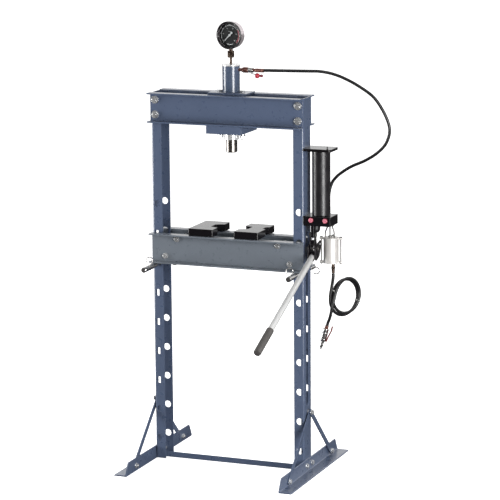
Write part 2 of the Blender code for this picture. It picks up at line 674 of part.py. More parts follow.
def build_cylinder_plates():
    bolt_hole = 0.0066
    plates = (
        ("cylinder_head_plate", 0.069, 0.079, HEAD_PLATE_BOTTOM, CROWN_BOTTOM - GAP),
        ("cylinder_top_plate", 0.076, 0.045, CROWN_TOP + GAP, CROWN_TOP + 0.0075),
    )
    for name, half_x, half_y, low, high in plates:
        bm = bmesh.new()
        add_box(bm, (RAM_X - half_x, -half_y, low), (RAM_X + half_x, half_y, high))
        plate = add_part(name, mesh_from(bm, name), PAINT_BLUE)
        bm = bmesh.new()
        add_cylinder(bm, (RAM_X, 0.0, low - 0.01), (RAM_X, 0.0, high + 0.01), BARREL_RADIUS + 0.0005, 32)
        for side in (-1, 1):
            x = RAM_X + side * TIE_BOLT_X
            add_cylinder(bm, (x, 0.0, low - 0.01), (x, 0.0, high + 0.01), bolt_hole, 16)
        cut(plate, bm, name + "_holes")
    for side, name in ((-1, "cylinder_tie_bolt_left"), (1, "cylinder_tie_bolt_right")):
        x = RAM_X + side * TIE_BOLT_X
        bm = bmesh.new()
        add_bolt(bm, (x, 0.0, CROWN_TOP + 0.0075 + GAP + 0.006),
                 (x, 0.0, HEAD_PLATE_BOTTOM - TIE_NUT_HEIGHT), 0.006, 0.006, TIE_NUT_HEIGHT - GAP)
        add_part(name, mesh_from(bm, name), ZINC)


# --------------------------------------------------------------------- gauge
def build_gauge():
    bm = bmesh.new()
    start, end = (RAM_X, 0.0, BARREL_TOP - 0.008), (RAM_X, 0.0, GAUGE_Z)
    base = BARREL_TOP - 0.008
    add_stack(bm, start, end, (
        ("round", 0.0045, 0.0), ("round", 0.0045, 1.531 - base),
        ("hex", 0.011, 1.531 - base), ("hex", 0.011, 1.556 - base),
        ("round", 0.007, 1.556 - base), ("round", 0.007, 1.5640 - base),
    ))
    add_part("gauge_adapter", mesh_from(bm, "gauge_adapter"), BRASS)
    axis = pivot_empty("gauge_axis", (RAM_X, 0.0, GAUGE_Z), (0.0, 0.0, GAUGE_YAW))
    r = GAUGE_RADIUS
    turned("gauge_case", (
        (0.0, -0.019), (0.0445, -0.019), (r - 0.0025, -0.0165), (r - 0.0025, 0.010), (r, 0.0105),
        (r, 0.0175), (r - 0.002, 0.019), (r - 0.0055, 0.019), (r - 0.0055, 0.004),
        (0.0, 0.004),
    )[::-1], (0.0, 0.0, 0.0), ROTATE_TO_FRONT, BRIGHT_STEEL, axis, 36)
    turned("gauge_dial", ((0.0, 0.0053), (0.0450, 0.0053), (0.0450, 0.0043), (0.0, 0.0043)),
           (0.0, 0.0, 0.0), ROTATE_TO_FRONT, DIAL_BLACK, axis, 36)
    tip_angle = math.radians(225.0)
    along = Vector((math.cos(tip_angle), math.sin(tip_angle)))
    across = Vector((-along.y, along.x))
    outline = [along * 0.033 + across * 0.0004, along * 0.004 + across * 0.0014,
               along * -0.009 + across * 0.0012, along * -0.0105 + across * 0.0034,
               along * -0.0140 + across * 0.0034, along * -0.0155]
    outline += [Vector(2 * along * point.dot(along) - point) for point in reversed(outline[:-1])]
    stand_up = Matrix(((1, 0, 0, 0), (0, 0, -1, -0.0085), (0, 1, 0, 0), (0, 0, 0, 1)))
    mesh = outline_mesh("gauge_needle", outline, 0.001, stand_up)
    add_part("gauge_needle", mesh, NEEDLE_WHITE, axis)


# ------------------------------------------------------- coupler and its hose
def build_coupler():
    """Quick coupler on the barrel's side port; every piece is turned about X."""
    place = (0.0, 0.0, COUPLER_Z)
    turned("coupler_body", (
        (0.0, 0.0940), (0.0062, 0.0940), (0.0062, 0.0722), (0.0103, 0.0720), (0.0105, 0.0560),
        (0.0085, 0.0510), (0.0062, 0.0470), (0.0060, 0.0315), (0.0, 0.0315),
    ), place, ROTATE_TO_X, COPPER, steps=20)
    turned("coupler_sleeve", (
        (0.0066, 0.0920), (0.0088, 0.0920), (0.0094, 0.0900), (0.0094, 0.0745), (0.0088, 0.0725),
        (0.0066, 0.0725)), place, ROTATE_TO_X, BRIGHT_STEEL, steps=20)
    turned("hose_end_collar", (
        (0.0, 0.1342), (0.0066, 0.1342), (0.0070, 0.1320), (0.0070, 0.1010), (0.0056, 0.0990),
        (0.0056, 0.0943), (0.0, 0.0943)), place, ROTATE_TO_X, COPPER, steps=20)
    ball = [(0.0095 * math.sin(a), -0.0095 * math.cos(a))
            for a in [math.pi * step / 12 for step in range(12, 2, -1)]]
    cap = turned("dust_cap", [(0.0, 0.0220), (0.0046, 0.0205), (0.0054, 0.0165), (0.0046, 0.0125),
                              (0.0034, 0.0105)] + [(r, z) for r, z in ball if z < 0.0085 and r > 0.0001]
                 + [(0.0, -0.0095)], (0.1075, 0.0, 1.4680), ROTATE_TO_X, RED_PLASTIC, steps=16)
    strap = [Vector(p) for p in ((0.1050, 0.0, 1.4705), (0.0960, 0.0, 1.4730), (0.0880, 0.0, 1.4752),
                                 (0.0820, 0.0, 1.4757))]
    bm = bmesh.new()
    bm.from_mesh(tube_mesh("dust_cap_strap", strap, 0.0013, 1))
    cut(cap, bm, "dust_cap_strap", "UNION")


def build_hydraulic_hose():
    points = smooth_points(HYDRAULIC_ROUTE, 0.027)
    mesh = tube_mesh("hydraulic_hose", points, HYDRAULIC_HOSE_RADIUS, 2)
    add_part("hydraulic_hose", mesh, RUBBER)
    x, y, top = HYDRAULIC_ROUTE[-1]
    z = 0.9515
    elbow = [Vector(p) for p in (
        (x, PUMP_HALF_Y + GAP, z), (x, y - 0.008, z), (x, y - 0.002, z + 0.002),
        (x, y, z + 0.008), (x, y, top - GAP))]
    add_part("hose_elbow", tube_mesh("hose_elbow", elbow, 0.0070, 3), BRIGHT_STEEL)


# ---------------------------------------------------------------------- pump
def build_pump():
    left = POST_OUTER_X + GAP
    bm = bmesh.new()
    add_box(bm, (left, -PUMP_HALF_Y, BLOCK_BOTTOM), (BLOCK_RIGHT, PUMP_HALF_Y, BLOCK_TOP))
    block = add_part("pump_block", mesh_from(bm, "pump_block"), BLACK_STEEL)
    bm = bmesh.new()
    add_box(bm, (LEVER_X - 0.006, PIVOT.y - 0.008, LINK_TOP_Z - 0.010),
            (LEVER_X + 0.006, PIVOT.y + 0.008, BLOCK_BOTTOM + 0.004))
    place = Matrix.Translation((LEVER_X, PLUNGER_Y, 0.0))
    for low, high, low_radius in ((0.914, BLOCK_BOTTOM + 0.004, 0.0170), (0.905, 0.914, 0.0110)):
        middle = place @ Matrix.Translation((0.0, 0.0, (low + high) / 2))
        bmesh.ops.create_cone(bm, cap_ends=True, segments=20, radius1=low_radius,
                              radius2=0.0170, depth=high - low, matrix=middle)
    cut(block, bm, "pump_block_bosses", "UNION")
    bm = bmesh.new()
    add_cylinder(bm, (LEVER_X, PLUNGER_Y, 0.900), (LEVER_X, PLUNGER_Y, BLOCK_TOP - 0.004),
                 0.0055, 16)
    add_cylinder(bm, (LEVER_X - 0.02, PIVOT.y, LINK_TOP_Z), (LEVER_X + 0.02, PIVOT.y, LINK_TOP_Z),
                 0.0046, 16)
    for y, z in PUMP_BOLTS[:2]:
        add_cylinder(bm, (left - 0.01, y, z), (left + 0.016, y, z), PUMP_BOLT_RADIUS + 0.0006, 12)
    cut(block, bm, "pump_block_bores")
    bm = bmesh.new()
    add_box(bm, (left, -PUMP_HALF_Y, RESERVOIR_TOP),
            (BLOCK_RIGHT + 0.002, PUMP_HALF_Y, RESERVOIR_TOP + 0.010))
    plate = add_part("pump_top_plate", mesh_from(bm, "pump_top_plate"), BLACK_STEEL)
    bm = bmesh.new()
    for y, z in PUMP_BOLTS[2:]:
        add_cylinder(bm, (left - 0.01, y, z), (left + 0.016, y, z), PUMP_BOLT_RADIUS + 0.0006, 12)
    cut(plate, bm, "pump_top_plate_holes")
    turned("pump_reservoir", (
        (RESERVOIR_RADIUS, RESERVOIR_TOP - GAP), (RESERVOIR_RADIUS, BLOCK_TOP + GAP),
        (RESERVOIR_RADIUS - 0.003, BLOCK_TOP + GAP), (RESERVOIR_RADIUS - 0.003, RESERVOIR_TOP - GAP),
    ), (PUMP_X, 0.0, 0.0), (0.0, 0.0, 0.0), BLACK_STEEL, steps=36)
    for name, x in (("release_valve_knob", 0.330), ("oil_filler_plug", 0.3845)):
        turned(name, ((0.0, 0.0080), (0.0075, 0.0080), (0.0098, 0.0055), (0.0100, 0.0015), (0.0092, GAP),
                      (0.0, GAP)), (x, -PUMP_HALF_Y, 0.9560), ROTATE_TO_FRONT, RED_PLASTIC, steps=20)


def build_pivot_bolt():
    bm = bmesh.new()
    half = 0.0222
    add_bolt(bm, (LEVER_X - half, PIVOT.y, PIVOT.z), (LEVER_X + half, PIVOT.y, PIVOT.z),
             0.0038, 0.005, 0.005)
    add_part("lever_pivot_bolt", mesh_from(bm, "lever_pivot_bolt"), ZINC)


def build_lever_link():
    """Clevis that hangs the lever's pivot from the lug on the block."""
    half = 0.008
    round_end = half * 0.98
    corners = [(y, z, round_end) for y, z in (
        (PIVOT.y - half, PIVOT.z - half), (PIVOT.y + half, PIVOT.z - half),
        (PIVOT.y + half, LINK_TOP_Z + half), (PIVOT.y - half, LINK_TOP_Z + half))]
    outline = rounded_outline(corners, 4)
    bm = bmesh.new()
    for start in (LEVER_X - 0.0105, LEVER_X + 0.0065):
        place = Matrix.Translation((start, 0.0, 0.0)) @ AXIS_X
        bm.from_mesh(outline_mesh("link_bar", outline, 0.004, place))
    link = add_part("lever_link", mesh_from(bm, "lever_link"), BLACK_STEEL)
    bm = bmesh.new()
    add_box(bm, (LEVER_X - 0.0085, PIVOT.y - 0.0055, 0.865),
            (LEVER_X + 0.0085, PIVOT.y + 0.0055, 0.882))
    cut(link, bm, "lever_link_bridge", "UNION")
    bm = bmesh.new()
    for z in (LINK_TOP_Z, PIVOT.z):
        add_cylinder(bm, (LEVER_X - 0.02, PIVOT.y, z), (LEVER_X + 0.02, PIVOT.y, z), 0.0046, 16)
    cut(link, bm, "lever_link_holes")


def build_plunger():
    bm = bmesh.new()
    add_cylinder(bm, (0.0, 0.0, -0.0075), (0.0, 0.0, 0.0970), 0.0045, 16)
    holder = pivot_empty("plunger_axis", (LEVER_X, PLUNGER_Y, PLUNGER_PIN_Z))
    plunger = add_part("pump_plunger", mesh_from(bm, "pump_plunger"), BRIGHT_STEEL, holder)
    bm = bmesh.new()
    add_cylinder(bm, (LEVER_X - 0.0190, PLUNGER_Y, PLUNGER_PIN_Z),
                 (LEVER_X + 0.0190, PLUNGER_Y, PLUNGER_PIN_Z), 0.0034, 12)
    cut(plunger, bm, "pump_plunger_pin", "UNION")


def on_handle(distance):
    return HANDLE_TOP + HANDLE_AXIS * distance


def build_lever_socket():
    """Two cheeks on the pivot, joined by a boss that carries the handle's stub."""
    corners = [(y, z, 0.004) for y, z in (
        (-0.049, 0.857), (-0.042, 0.864), (0.004, 0.8755), (0.010, 0.868),
        (0.008, 0.852), (-0.010, 0.817), (-0.040, 0.8065), (-0.052, 0.812))]
    outline = rounded_outline(corners, 3)
    pivot = pivot_empty("handle_pivot", PIVOT)
    back_to_pivot = Matrix.Translation(-PIVOT)
    bm = bmesh.new()
    for start in (LEVER_X - 0.0165, LEVER_X + 0.0115):
        place = Matrix.Translation((start, 0.0, 0.0)) @ AXIS_X
        bm.from_mesh(outline_mesh("cheek", outline, 0.005, place))
    bmesh.ops.transform(bm, matrix=back_to_pivot, verts=bm.verts)
    socket = add_part("lever_socket", mesh_from(bm, "lever_socket"), BLACK_STEEL, pivot)
    bm = bmesh.new()
    add_cylinder(bm, on_handle(-0.026), on_handle(-GAP), 0.0135, 20)
    cut(socket, bm, "lever_socket_boss", "UNION")
    bm = bmesh.new()
    add_cylinder(bm, on_handle(-0.010), on_handle(0.050), 0.0085, 16)
    cut(socket, bm, "lever_socket_stub", "UNION")
    bm = bmesh.new()
    add_cylinder(bm, (LEVER_X - 0.03, PIVOT.y, PIVOT.z), (LEVER_X + 0.03, PIVOT.y, PIVOT.z), 0.0046, 16)
    pin_y, pin_z = PIVOT.y + 0.0283, PLUNGER_PIN_Z - 0.0004
    add_cylinder(bm, (LEVER_X - 0.03, pin_y, pin_z), (LEVER_X + 0.03, pin_y, pin_z), 0.0062, 16)
    cut(socket, bm, "lever_socket_holes")
    return pivot


def build_handle(pivot):
    """Steel tube over the stub, with a rubber grip on its free end."""
    axis = HANDLE_AXIS.to_track_quat("Z", "X").to_euler()
    top = HANDLE_TOP - PIVOT
    turned("handle_tube", (
        (HANDLE_RADIUS, GRIP_END - 0.010), (HANDLE_RADIUS, 0.0), (HANDLE_RADIUS - 0.0020, 0.0),
        (HANDLE_RADIUS - 0.0020, GRIP_END - 0.010),
    ), top, axis, BRIGHT_STEEL, pivot, 20)
    turned("handle_grip", (
        (0.0, GRIP_END), (GRIP_RADIUS - 0.003, GRIP_END), (GRIP_RADIUS, GRIP_END - 0.003),
        (GRIP_RADIUS, GRIP_START + 0.001), (GRIP_RADIUS - 0.001, GRIP_START),
        (HANDLE_RADIUS + GAP, GRIP_START), (HANDLE_RADIUS + GAP, GRIP_END - 0.0095),
        (0.0, GRIP_END - 0.0095),
    ), top, axis, GRIP_RUBBER, pivot, 20)


# ----------------------------------------------------------------- air motor
def lug_positions():
    turns = [math.radians(angle) for angle in LUG_ANGLES]
    return [(MOTOR_X + LUG_REACH * math.cos(turn), MOTOR_Y + LUG_REACH * math.sin(turn))
            for turn in turns]


def build_air_motor():
    """Cylinder with a lugged cover at each end; the lugs carry the tie rods."""
    bottom, top, cover = MOTOR_BOTTOM, MOTOR_TOP, 0.009
    body = turned("air_motor", (
        (0.0, top), (MOTOR_RADIUS - 0.003, top), (MOTOR_RADIUS, top - 0.003), (MOTOR_RADIUS, top - cover),
        (MOTOR_RADIUS - 0.0015, top - cover - 0.001), (MOTOR_RADIUS - 0.0015, bottom + cover + 0.001),
        (MOTOR_RADIUS, bottom + cover), (MOTOR_RADIUS, bottom + 0.003), (MOTOR_RADIUS - 0.003, bottom),
        (0.0, bottom),
    ), (MOTOR_X, MOTOR_Y, 0.0), (0.0, 0.0, 0.0), ALUMINIUM, steps=32)
    bm = bmesh.new()
    for x, y in lug_positions():
        for low in (bottom + 0.001, top - cover + 0.001):
            add_cylinder(bm, (x, y, low), (x, y, low + 0.007), 0.0068, 12)
            inner = Vector((MOTOR_X, MOTOR_Y)).lerp(Vector((x, y)), 0.70)
            add_cylinder(bm, (*inner, low + 0.001), (*inner, low + 0.006), 0.0060, 12)
    cut(body, bm, "air_motor_lugs", "UNION")
    bm = bmesh.new()
    for x, y in lug_positions():
        add_cylinder(bm, (x, y, bottom - 0.01), (x, y, top + 0.01), 0.0030, 12)
    cut(body, bm, "air_motor_rod_holes")


def build_motor_bracket():
    """Flange under the block, with two splayed legs and the drive tube down to the motor."""
    y = MOTOR_Y
    top = BLOCK_BOTTOM - GAP
    bm = bmesh.new()
    add_box(bm, (0.3690, y - 0.008, top - 0.003), (0.3985, y + 0.008, top))
    bracket = add_part("air_motor_bracket", mesh_from(bm, "air_motor_bracket"), BRIGHT_STEEL)
    bm = bmesh.new()
    for top_x, low_x in ((0.3735, 0.3665), (0.3940, 0.4000)):
        points = [Vector((top_x, y, top - 0.0015)), Vector((top_x, y, top - 0.010)),
                  Vector((low_x, y, MOTOR_TOP + 0.018)), Vector((low_x, y, MOTOR_TOP + GAP))]
        bm.from_mesh(tube_mesh("leg", points, 0.0026, 2))
    add_cylinder(bm, (0.3838, y, MOTOR_TOP + GAP), (0.3838, y, MOTOR_TOP + 0.006), 0.0065, 16)
    add_cylinder(bm, (0.3838, y, MOTOR_TOP + 0.003), (0.3838, y, top - 0.0015), 0.0026, 16)
    cut(bracket, bm, "air_motor_bracket_legs", "UNION")


def build_air_inlet():
    turned("air_inlet_fitting", (
        (0.0, MOTOR_BOTTOM - GAP), (0.0065, MOTOR_BOTTOM - GAP), (0.0065, 0.7800), (0.0072, 0.7785),
        (0.0072, 0.7700), (0.0062, 0.7680), (0.0062, INLET.z - 0.002), (0.0, INLET.z - 0.002),
    ), (INLET.x, INLET.y, 0.0), (0.0, 0.0, 0.0), BRASS, steps=16)


# ------------------------------------------------------------------ air hose
def build_air_hose():
    for name, route in (("air_hose_lead", AIR_LEAD_ROUTE), ("air_hose_tail", AIR_TAIL_ROUTE)):
        add_part(name, tube_mesh(name, smooth_points(route, 0.012), AIR_HOSE_RADIUS, 2), RUBBER)
    section = [(COIL_RADIUS + COIL_BUNDLE * math.cos(a), COIL_BUNDLE * math.sin(a))
               for a in [math.pi / 2 - 2 * math.pi * step / 10 for step in range(10)]]
    turned("air_hose_coil", section, COIL_CENTRE, (math.pi / 2, 0.0, COIL_YAW), RUBBER, steps=32)


def build_air_valve():
    """Trigger valve on the hose's end: turned body, and a lever pinned to its lower end."""
    lean = Euler((0.0, VALVE_LEAN, 0.0)).to_matrix().to_4x4()
    place = Matrix.Translation(VALVE_TOP) @ lean
    turned("air_valve_body", (
        (0.0, 0.0), (0.0070, 0.0), (0.0072, -0.0110), (0.0100, -0.0130), (0.0108, -0.0160),
        (0.0108, -0.0580), (0.0085, -0.0620), (0.0062, -0.0640), (0.0062, -0.0820), (0.0040, -0.0860),
        (0.0040, -0.0940), (0.0, -0.0940),
    ), place.translation, place.to_euler(), BRIGHT_STEEL, steps=20)
    hinge = pivot_empty("air_lever_pivot", place @ Vector((0.0138, 0.0, -0.0560)), place.to_euler())
    outline = rounded_outline((
        (-0.0014, -0.004, 0.0013), (0.0014, -0.004, 0.0013), (0.0014, 0.006, 0.0), (0.0085, 0.040, 0.004),
        (0.0080, 0.060, 0.001), (0.0052, 0.060, 0.001), (0.0056, 0.041, 0.004), (-0.0014, 0.008, 0.0)), 2)
    stand_up = Matrix(((1, 0, 0, 0), (0, 0, -1, 0.007), (0, 1, 0, 0), (0, 0, 0, 1)))
    mesh = outline_mesh("air_valve_lever", outline, 0.014, stand_up)
    add_part("air_valve_lever", mesh, BRIGHT_STEEL, hinge)


# --------------------------------------------------------------------- build
def build_press():
    build_upright("left_upright", -1)
    build_upright("right_upright", 1)
    build_crown()
    for name, side in (("left", -1), ("right", 1)):
        build_foot(name + "_foot", side)
        build_brace(name + "_front_brace", side, -1)
        build_brace(name + "_back_brace", side, 1)
    build_tie_bar()
    build_bed()
    build_pin("bed_pin_left", -1, LEFT_PIN_FRONT, LEFT_CLIP_Y)
    build_pin("bed_pin_right", 1, RIGHT_PIN_FRONT, RIGHT_CLIP_Y)
    build_clips()
    build_press_plates()
    build_cylinder()
    build_return_spring()
    build_cylinder_plates()
    build_gauge()
    build_coupler()
    build_hydraulic_hose()
    build_pump()
    build_pivot_bolt()
    build_lever_link()
    build_plunger()
    build_handle(build_lever_socket())
    build_air_motor()
    build_motor_bracket()
    build_air_inlet()
    build_air_hose()
    build_air_valve()
    centre_on_origin()


def centre_on_origin():
    """Move the whole press so that its box, without the hoses, stands centred on the origin."""
    bpy.context.view_layer.update()
    graph = bpy.context.evaluated_depsgraph_get()
    corners = []
    for part in PARTS.objects:
        if part.type != "MESH" or part.name in ON_A_HOSE:
            continue
        solid = part.evaluated_get(graph)
        corners += [part.matrix_world @ Vector(corner) for corner in solid.bound_box]
    for axis in (0, 1):
        values = [corner[axis] for corner in corners]
        ROOT.location[axis] = -(min(values) + max(values)) / 2


build_press()
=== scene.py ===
"""Looks of the H-frame shop press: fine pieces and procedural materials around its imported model.

Sizes are metres.  Pieces are modelled in the press's own frame, whose origin lies on the floor midway
between the uprights, and each piece's object is then placed at ORIGIN in the row frame.
"""
import math

import bmesh
import bpy
from mathutils import Euler, Matrix, Vector


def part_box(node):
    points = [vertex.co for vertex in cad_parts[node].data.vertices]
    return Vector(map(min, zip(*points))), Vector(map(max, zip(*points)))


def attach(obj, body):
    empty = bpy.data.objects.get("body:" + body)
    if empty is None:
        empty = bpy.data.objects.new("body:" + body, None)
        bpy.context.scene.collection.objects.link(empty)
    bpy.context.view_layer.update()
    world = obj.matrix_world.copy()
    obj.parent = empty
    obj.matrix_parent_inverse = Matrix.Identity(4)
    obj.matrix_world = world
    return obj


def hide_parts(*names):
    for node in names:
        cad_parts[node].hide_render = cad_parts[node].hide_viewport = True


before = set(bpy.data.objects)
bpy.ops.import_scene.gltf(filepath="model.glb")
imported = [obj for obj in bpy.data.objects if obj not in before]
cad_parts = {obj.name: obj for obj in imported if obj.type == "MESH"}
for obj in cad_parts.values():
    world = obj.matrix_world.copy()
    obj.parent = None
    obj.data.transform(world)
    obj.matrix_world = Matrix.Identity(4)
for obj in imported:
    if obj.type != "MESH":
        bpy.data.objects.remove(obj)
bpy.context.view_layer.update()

# -------------------------------------------------------------- frame of work
LEFT_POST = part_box("left_upright")
RIGHT_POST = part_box("right_upright")
ORIGIN = Vector(((LEFT_POST[0].x + RIGHT_POST[1].x) / 2, (LEFT_POST[0].y + LEFT_POST[1].y) / 2, 0.0))


def box(node):
    """Lowest and highest corner of a CAD node in the press's own frame."""
    low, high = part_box(node)
    return low - ORIGIN, high - ORIGIN


GAP = 0.0003
STEEL = 0.005
POST_OUTER_X = (RIGHT_POST[1].x - LEFT_POST[0].x) / 2
POST_DEPTH = LEFT_POST[1].y - LEFT_POST[0].y
POST_FLANGE = 0.040
POST_BOTTOM = LEFT_POST[0].z
POST_TOP = LEFT_POST[1].z
HOLE_X = 0.281
HOLE_RADIUS = 0.013
HOLE_TOP_Z = 0.980
HOLE_PITCH = 0.112
HOLE_COUNT = 9
HOLE_LEVELS = [HOLE_TOP_Z - HOLE_PITCH * level for level in range(HOLE_COUNT)]
SLOT_BOTTOM = 0.250
SLOT_TOP = 0.905
SLOT_WIDTH = 0.030
BOLT_CLEARANCE = 0.0006     # a bolt hole's radius beyond its bolt's

CROWN_BOTTOM = box("crown_channel_front")[0].z
CROWN_TOP = box("crown_channel_front")[1].z
CROWN_INNER_Y = POST_DEPTH / 2 + GAP
CROWN_BOLT_LEVELS = (1.370, 1.315)
CROWN_BOLT_RADIUS = 0.007
BED_BOTTOM = box("bed_channel_front")[0].z
BED_TOP = box("bed_channel_front")[1].z
BED_INNER_Y = 0.040
BED_BOLTS = ((0.200, 0.8525), (0.247, 0.787))
BED_BOLT_RADIUS = 0.006
CLIP_WIRE = 0.0019          # radius of the spring wire
CLIP_HOLE_RADIUS = 0.0025   # cross hole in a pin
CLIP_STEM_BACK = 0.0104     # from the front loop's rearmost point to the stem's axis
REAR_CLIP_INSET = 0.010     # rear cross hole's axis from the pin's back end

FOOT_HALF = box("left_foot")[1].y
FOOT_LEG = 0.050
FOOT_CHAMFER = 0.025
FOOT_BOLT_RADIUS = 0.005
NEAR_BOLTS = ((-0.027, 0.026), (0.027, 0.026))
BRACE_TOP = Vector((0.0, 0.226))
BRACE_ENDS = (Vector((-0.220, 0.020)), Vector((0.220, 0.020)))
BRACE_WIDTH = 0.020
BRACE_THICKNESS = 0.004
BRACE_LAP = 0.011

RAM_X = 0.005
BARREL_RADIUS = 0.032
BARREL_BORE = 0.025
BARREL_TOP = box("cylinder_barrel")[1].z
HEAD_LOW = box("cylinder_head_plate")[0]
CAP_HIGH = box("cylinder_top_plate")[1]
TIE_BOLT_X = 0.043
ROD_RADIUS = 0.021
ROD_BOTTOM = box("ram_piston_rod")[0].z
PISTON_TOP = box("ram_piston_rod")[1].z

GAUGE_Z = 1.613
GAUGE_RADIUS = 0.051
GAUGE_YAW = math.radians(-8.0)
COUPLER_Z = 1.4875

PUMP_X = 0.354
PUMP_HALF_Y = 0.042
BLOCK_LOW = Vector((POST_OUTER_X + GAP, -PUMP_HALF_Y, 0.934))
BLOCK_HIGH = Vector((0.403, PUMP_HALF_Y, 0.969))
STUD_FOOT = Vector((0.3875, -0.028, box("pump_top_plate")[1].z - 0.0004))
RESERVOIR_RADIUS = 0.0333
RESERVOIR_TOP = box("pump_reservoir")[1].z + GAP
PUMP_BOLTS = ((-0.028, 0.9515), (0.028, 0.9515), (-0.028, 1.211), (0.028, 1.211))
PUMP_BOLT_RADIUS = 0.003
LEVER_X = 0.334
PIVOT = Vector((LEVER_X, -0.034, 0.850))
LINK_TOP_Z = 0.902
PLUNGER_Y = -0.005
PLUNGER_PIN_Z = 0.8629
HANDLE_TOP = Vector((LEVER_X, -0.042, 0.820))
HANDLE_DROP = math.radians(23.1)
HANDLE_AXIS = Vector((0.0, -math.cos(HANDLE_DROP), -math.sin(HANDLE_DROP)))
HANDLE_RADIUS = 0.011
GRIP_START = 0.462
GRIP_END = 0.600
GRIP_RADIUS = 0.0137

MOTOR_X = 0.388
MOTOR_Y = 0.010
MOTOR_RADIUS = 0.029
MOTOR_BOTTOM = 0.792
MOTOR_TOP = 0.888
LUG_ANGLES = (8.0, 98.0, 188.0)
LUG_REACH = 0.036
LUG_RADIUS = 0.0068
INLET = Vector((0.3955, 0.012, 0.756))

HOSE_DIAMETER = 0.0114
COIL_CENTRE = Vector((0.419, 0.074, 0.6575))
COIL_YAW = math.radians(61.0)
COIL_RADIUS = 0.0663
COIL_HALF_PITCH = 0.00595   # half the space between the two turns
COIL_TURNS = 1.96
TIE_ANGLES = (154.0, 339.0)
VALVE_TOP = Vector((0.3716, 0.012, 0.5565))
VALVE_LEAN = math.radians(16.4)

# routes of the free hoses, point by point
HYDRAULIC_ROUTE = (
    (0.1345, 0.000, 1.4885), (0.190, 0.001, 1.4895), (0.245, 0.003, 1.4905),
    (0.300, 0.005, 1.4915), (0.350, 0.008, 1.4915), (0.400, 0.013, 1.4825),
    (0.448, 0.019, 1.4640), (0.499, 0.024, 1.4365), (0.543, 0.029, 1.4045),
    (0.574, 0.034, 1.3615), (0.594, 0.038, 1.3185), (0.600, 0.042, 1.2870),
    (0.594, 0.046, 1.2565), (0.577, 0.049, 1.2250), (0.543, 0.053, 1.1935),
    (0.499, 0.057, 1.1665), (0.452, 0.060, 1.1450), (0.414, 0.062, 1.1215),
    (0.387, 0.063, 1.0985), (0.371, 0.063, 1.0750), (0.362, 0.062, 1.0400),
    (0.360, 0.062, 0.9903),
)
AIR_LEAD_ROUTE = (
    (0.3955, 0.0120, 0.7524), (0.3955, 0.0120, 0.7420), (0.3930, 0.0124, 0.7230),
    (0.3890, 0.0122, 0.7000), (0.3855, 0.0110, 0.6790),
)
AIR_TAIL_ROUTE = (
    (0.4000, 0.0094, 0.6580), (0.3963, 0.0054, 0.6400), (0.3925, 0.0036, 0.6220),
    (0.3888, 0.0045, 0.6040), (0.3830, 0.0085, 0.5860), (0.3750, 0.0120, 0.5680),
    (0.3717, 0.0120, 0.5569),
)

# camera, in the press's own frame
CAMERA_PLACE = Vector((3.36613, -8.25010, 2.55449))
CAMERA_AZIMUTH = math.radians(21.7535)
CAMERA_ELEVATION = math.radians(11.0409)
CAMERA_ROLL = math.radians(-0.4364)
CAMERA_LENS = 176.81


# ---------------------------------------------------------------- materials
def node_of(tree, kind, **values):
    """A shader node with some of its inputs or properties set."""
    made = tree.nodes.new(kind)
    for name, value in values.items():
        if name in made.inputs:
            made.inputs[name].default_value = value
        else:
            setattr(made, name, value)
    return made


def noise(tree, place, scale, detail=4.0, stretch=(1.0, 1.0, 1.0)):
    """Noise in object space.  stretch below 1 along an axis draws the grain out along it."""
    mapping = node_of(tree, "ShaderNodeMapping", Scale=stretch)
    tree.links.new(place, mapping.inputs["Vector"])
    made = node_of(tree, "ShaderNodeTexNoise", Scale=scale, Detail=detail, Roughness=0.6)
    tree.links.new(mapping.outputs["Vector"], made.inputs["Vector"])
    return made.outputs["Fac"]


def remap(tree, value, low, high, to_low, to_high):
    made = node_of(tree, "ShaderNodeMapRange", clamp=True)
    for index, number in enumerate((low, high, to_low, to_high), 1):
        made.inputs[index].default_value = number
    tree.links.new(value, made.inputs[0])
    return made.outputs[0]


def mix_colour(tree, factor, first, second, blend="MIX"):
    made = node_of(tree, "ShaderNodeMix", data_type="RGBA", blend_type=blend)
    if isinstance(factor, float):
        made.inputs[0].default_value = factor
    else:
        tree.links.new(factor, made.inputs[0])
    for socket, value in ((made.inputs[6], first), (made.inputs[7], second)):
        if isinstance(value, tuple):
            socket.default_value = (*value, 1.0)
        else:
            tree.links.new(value, socket)
    return made.outputs[2]


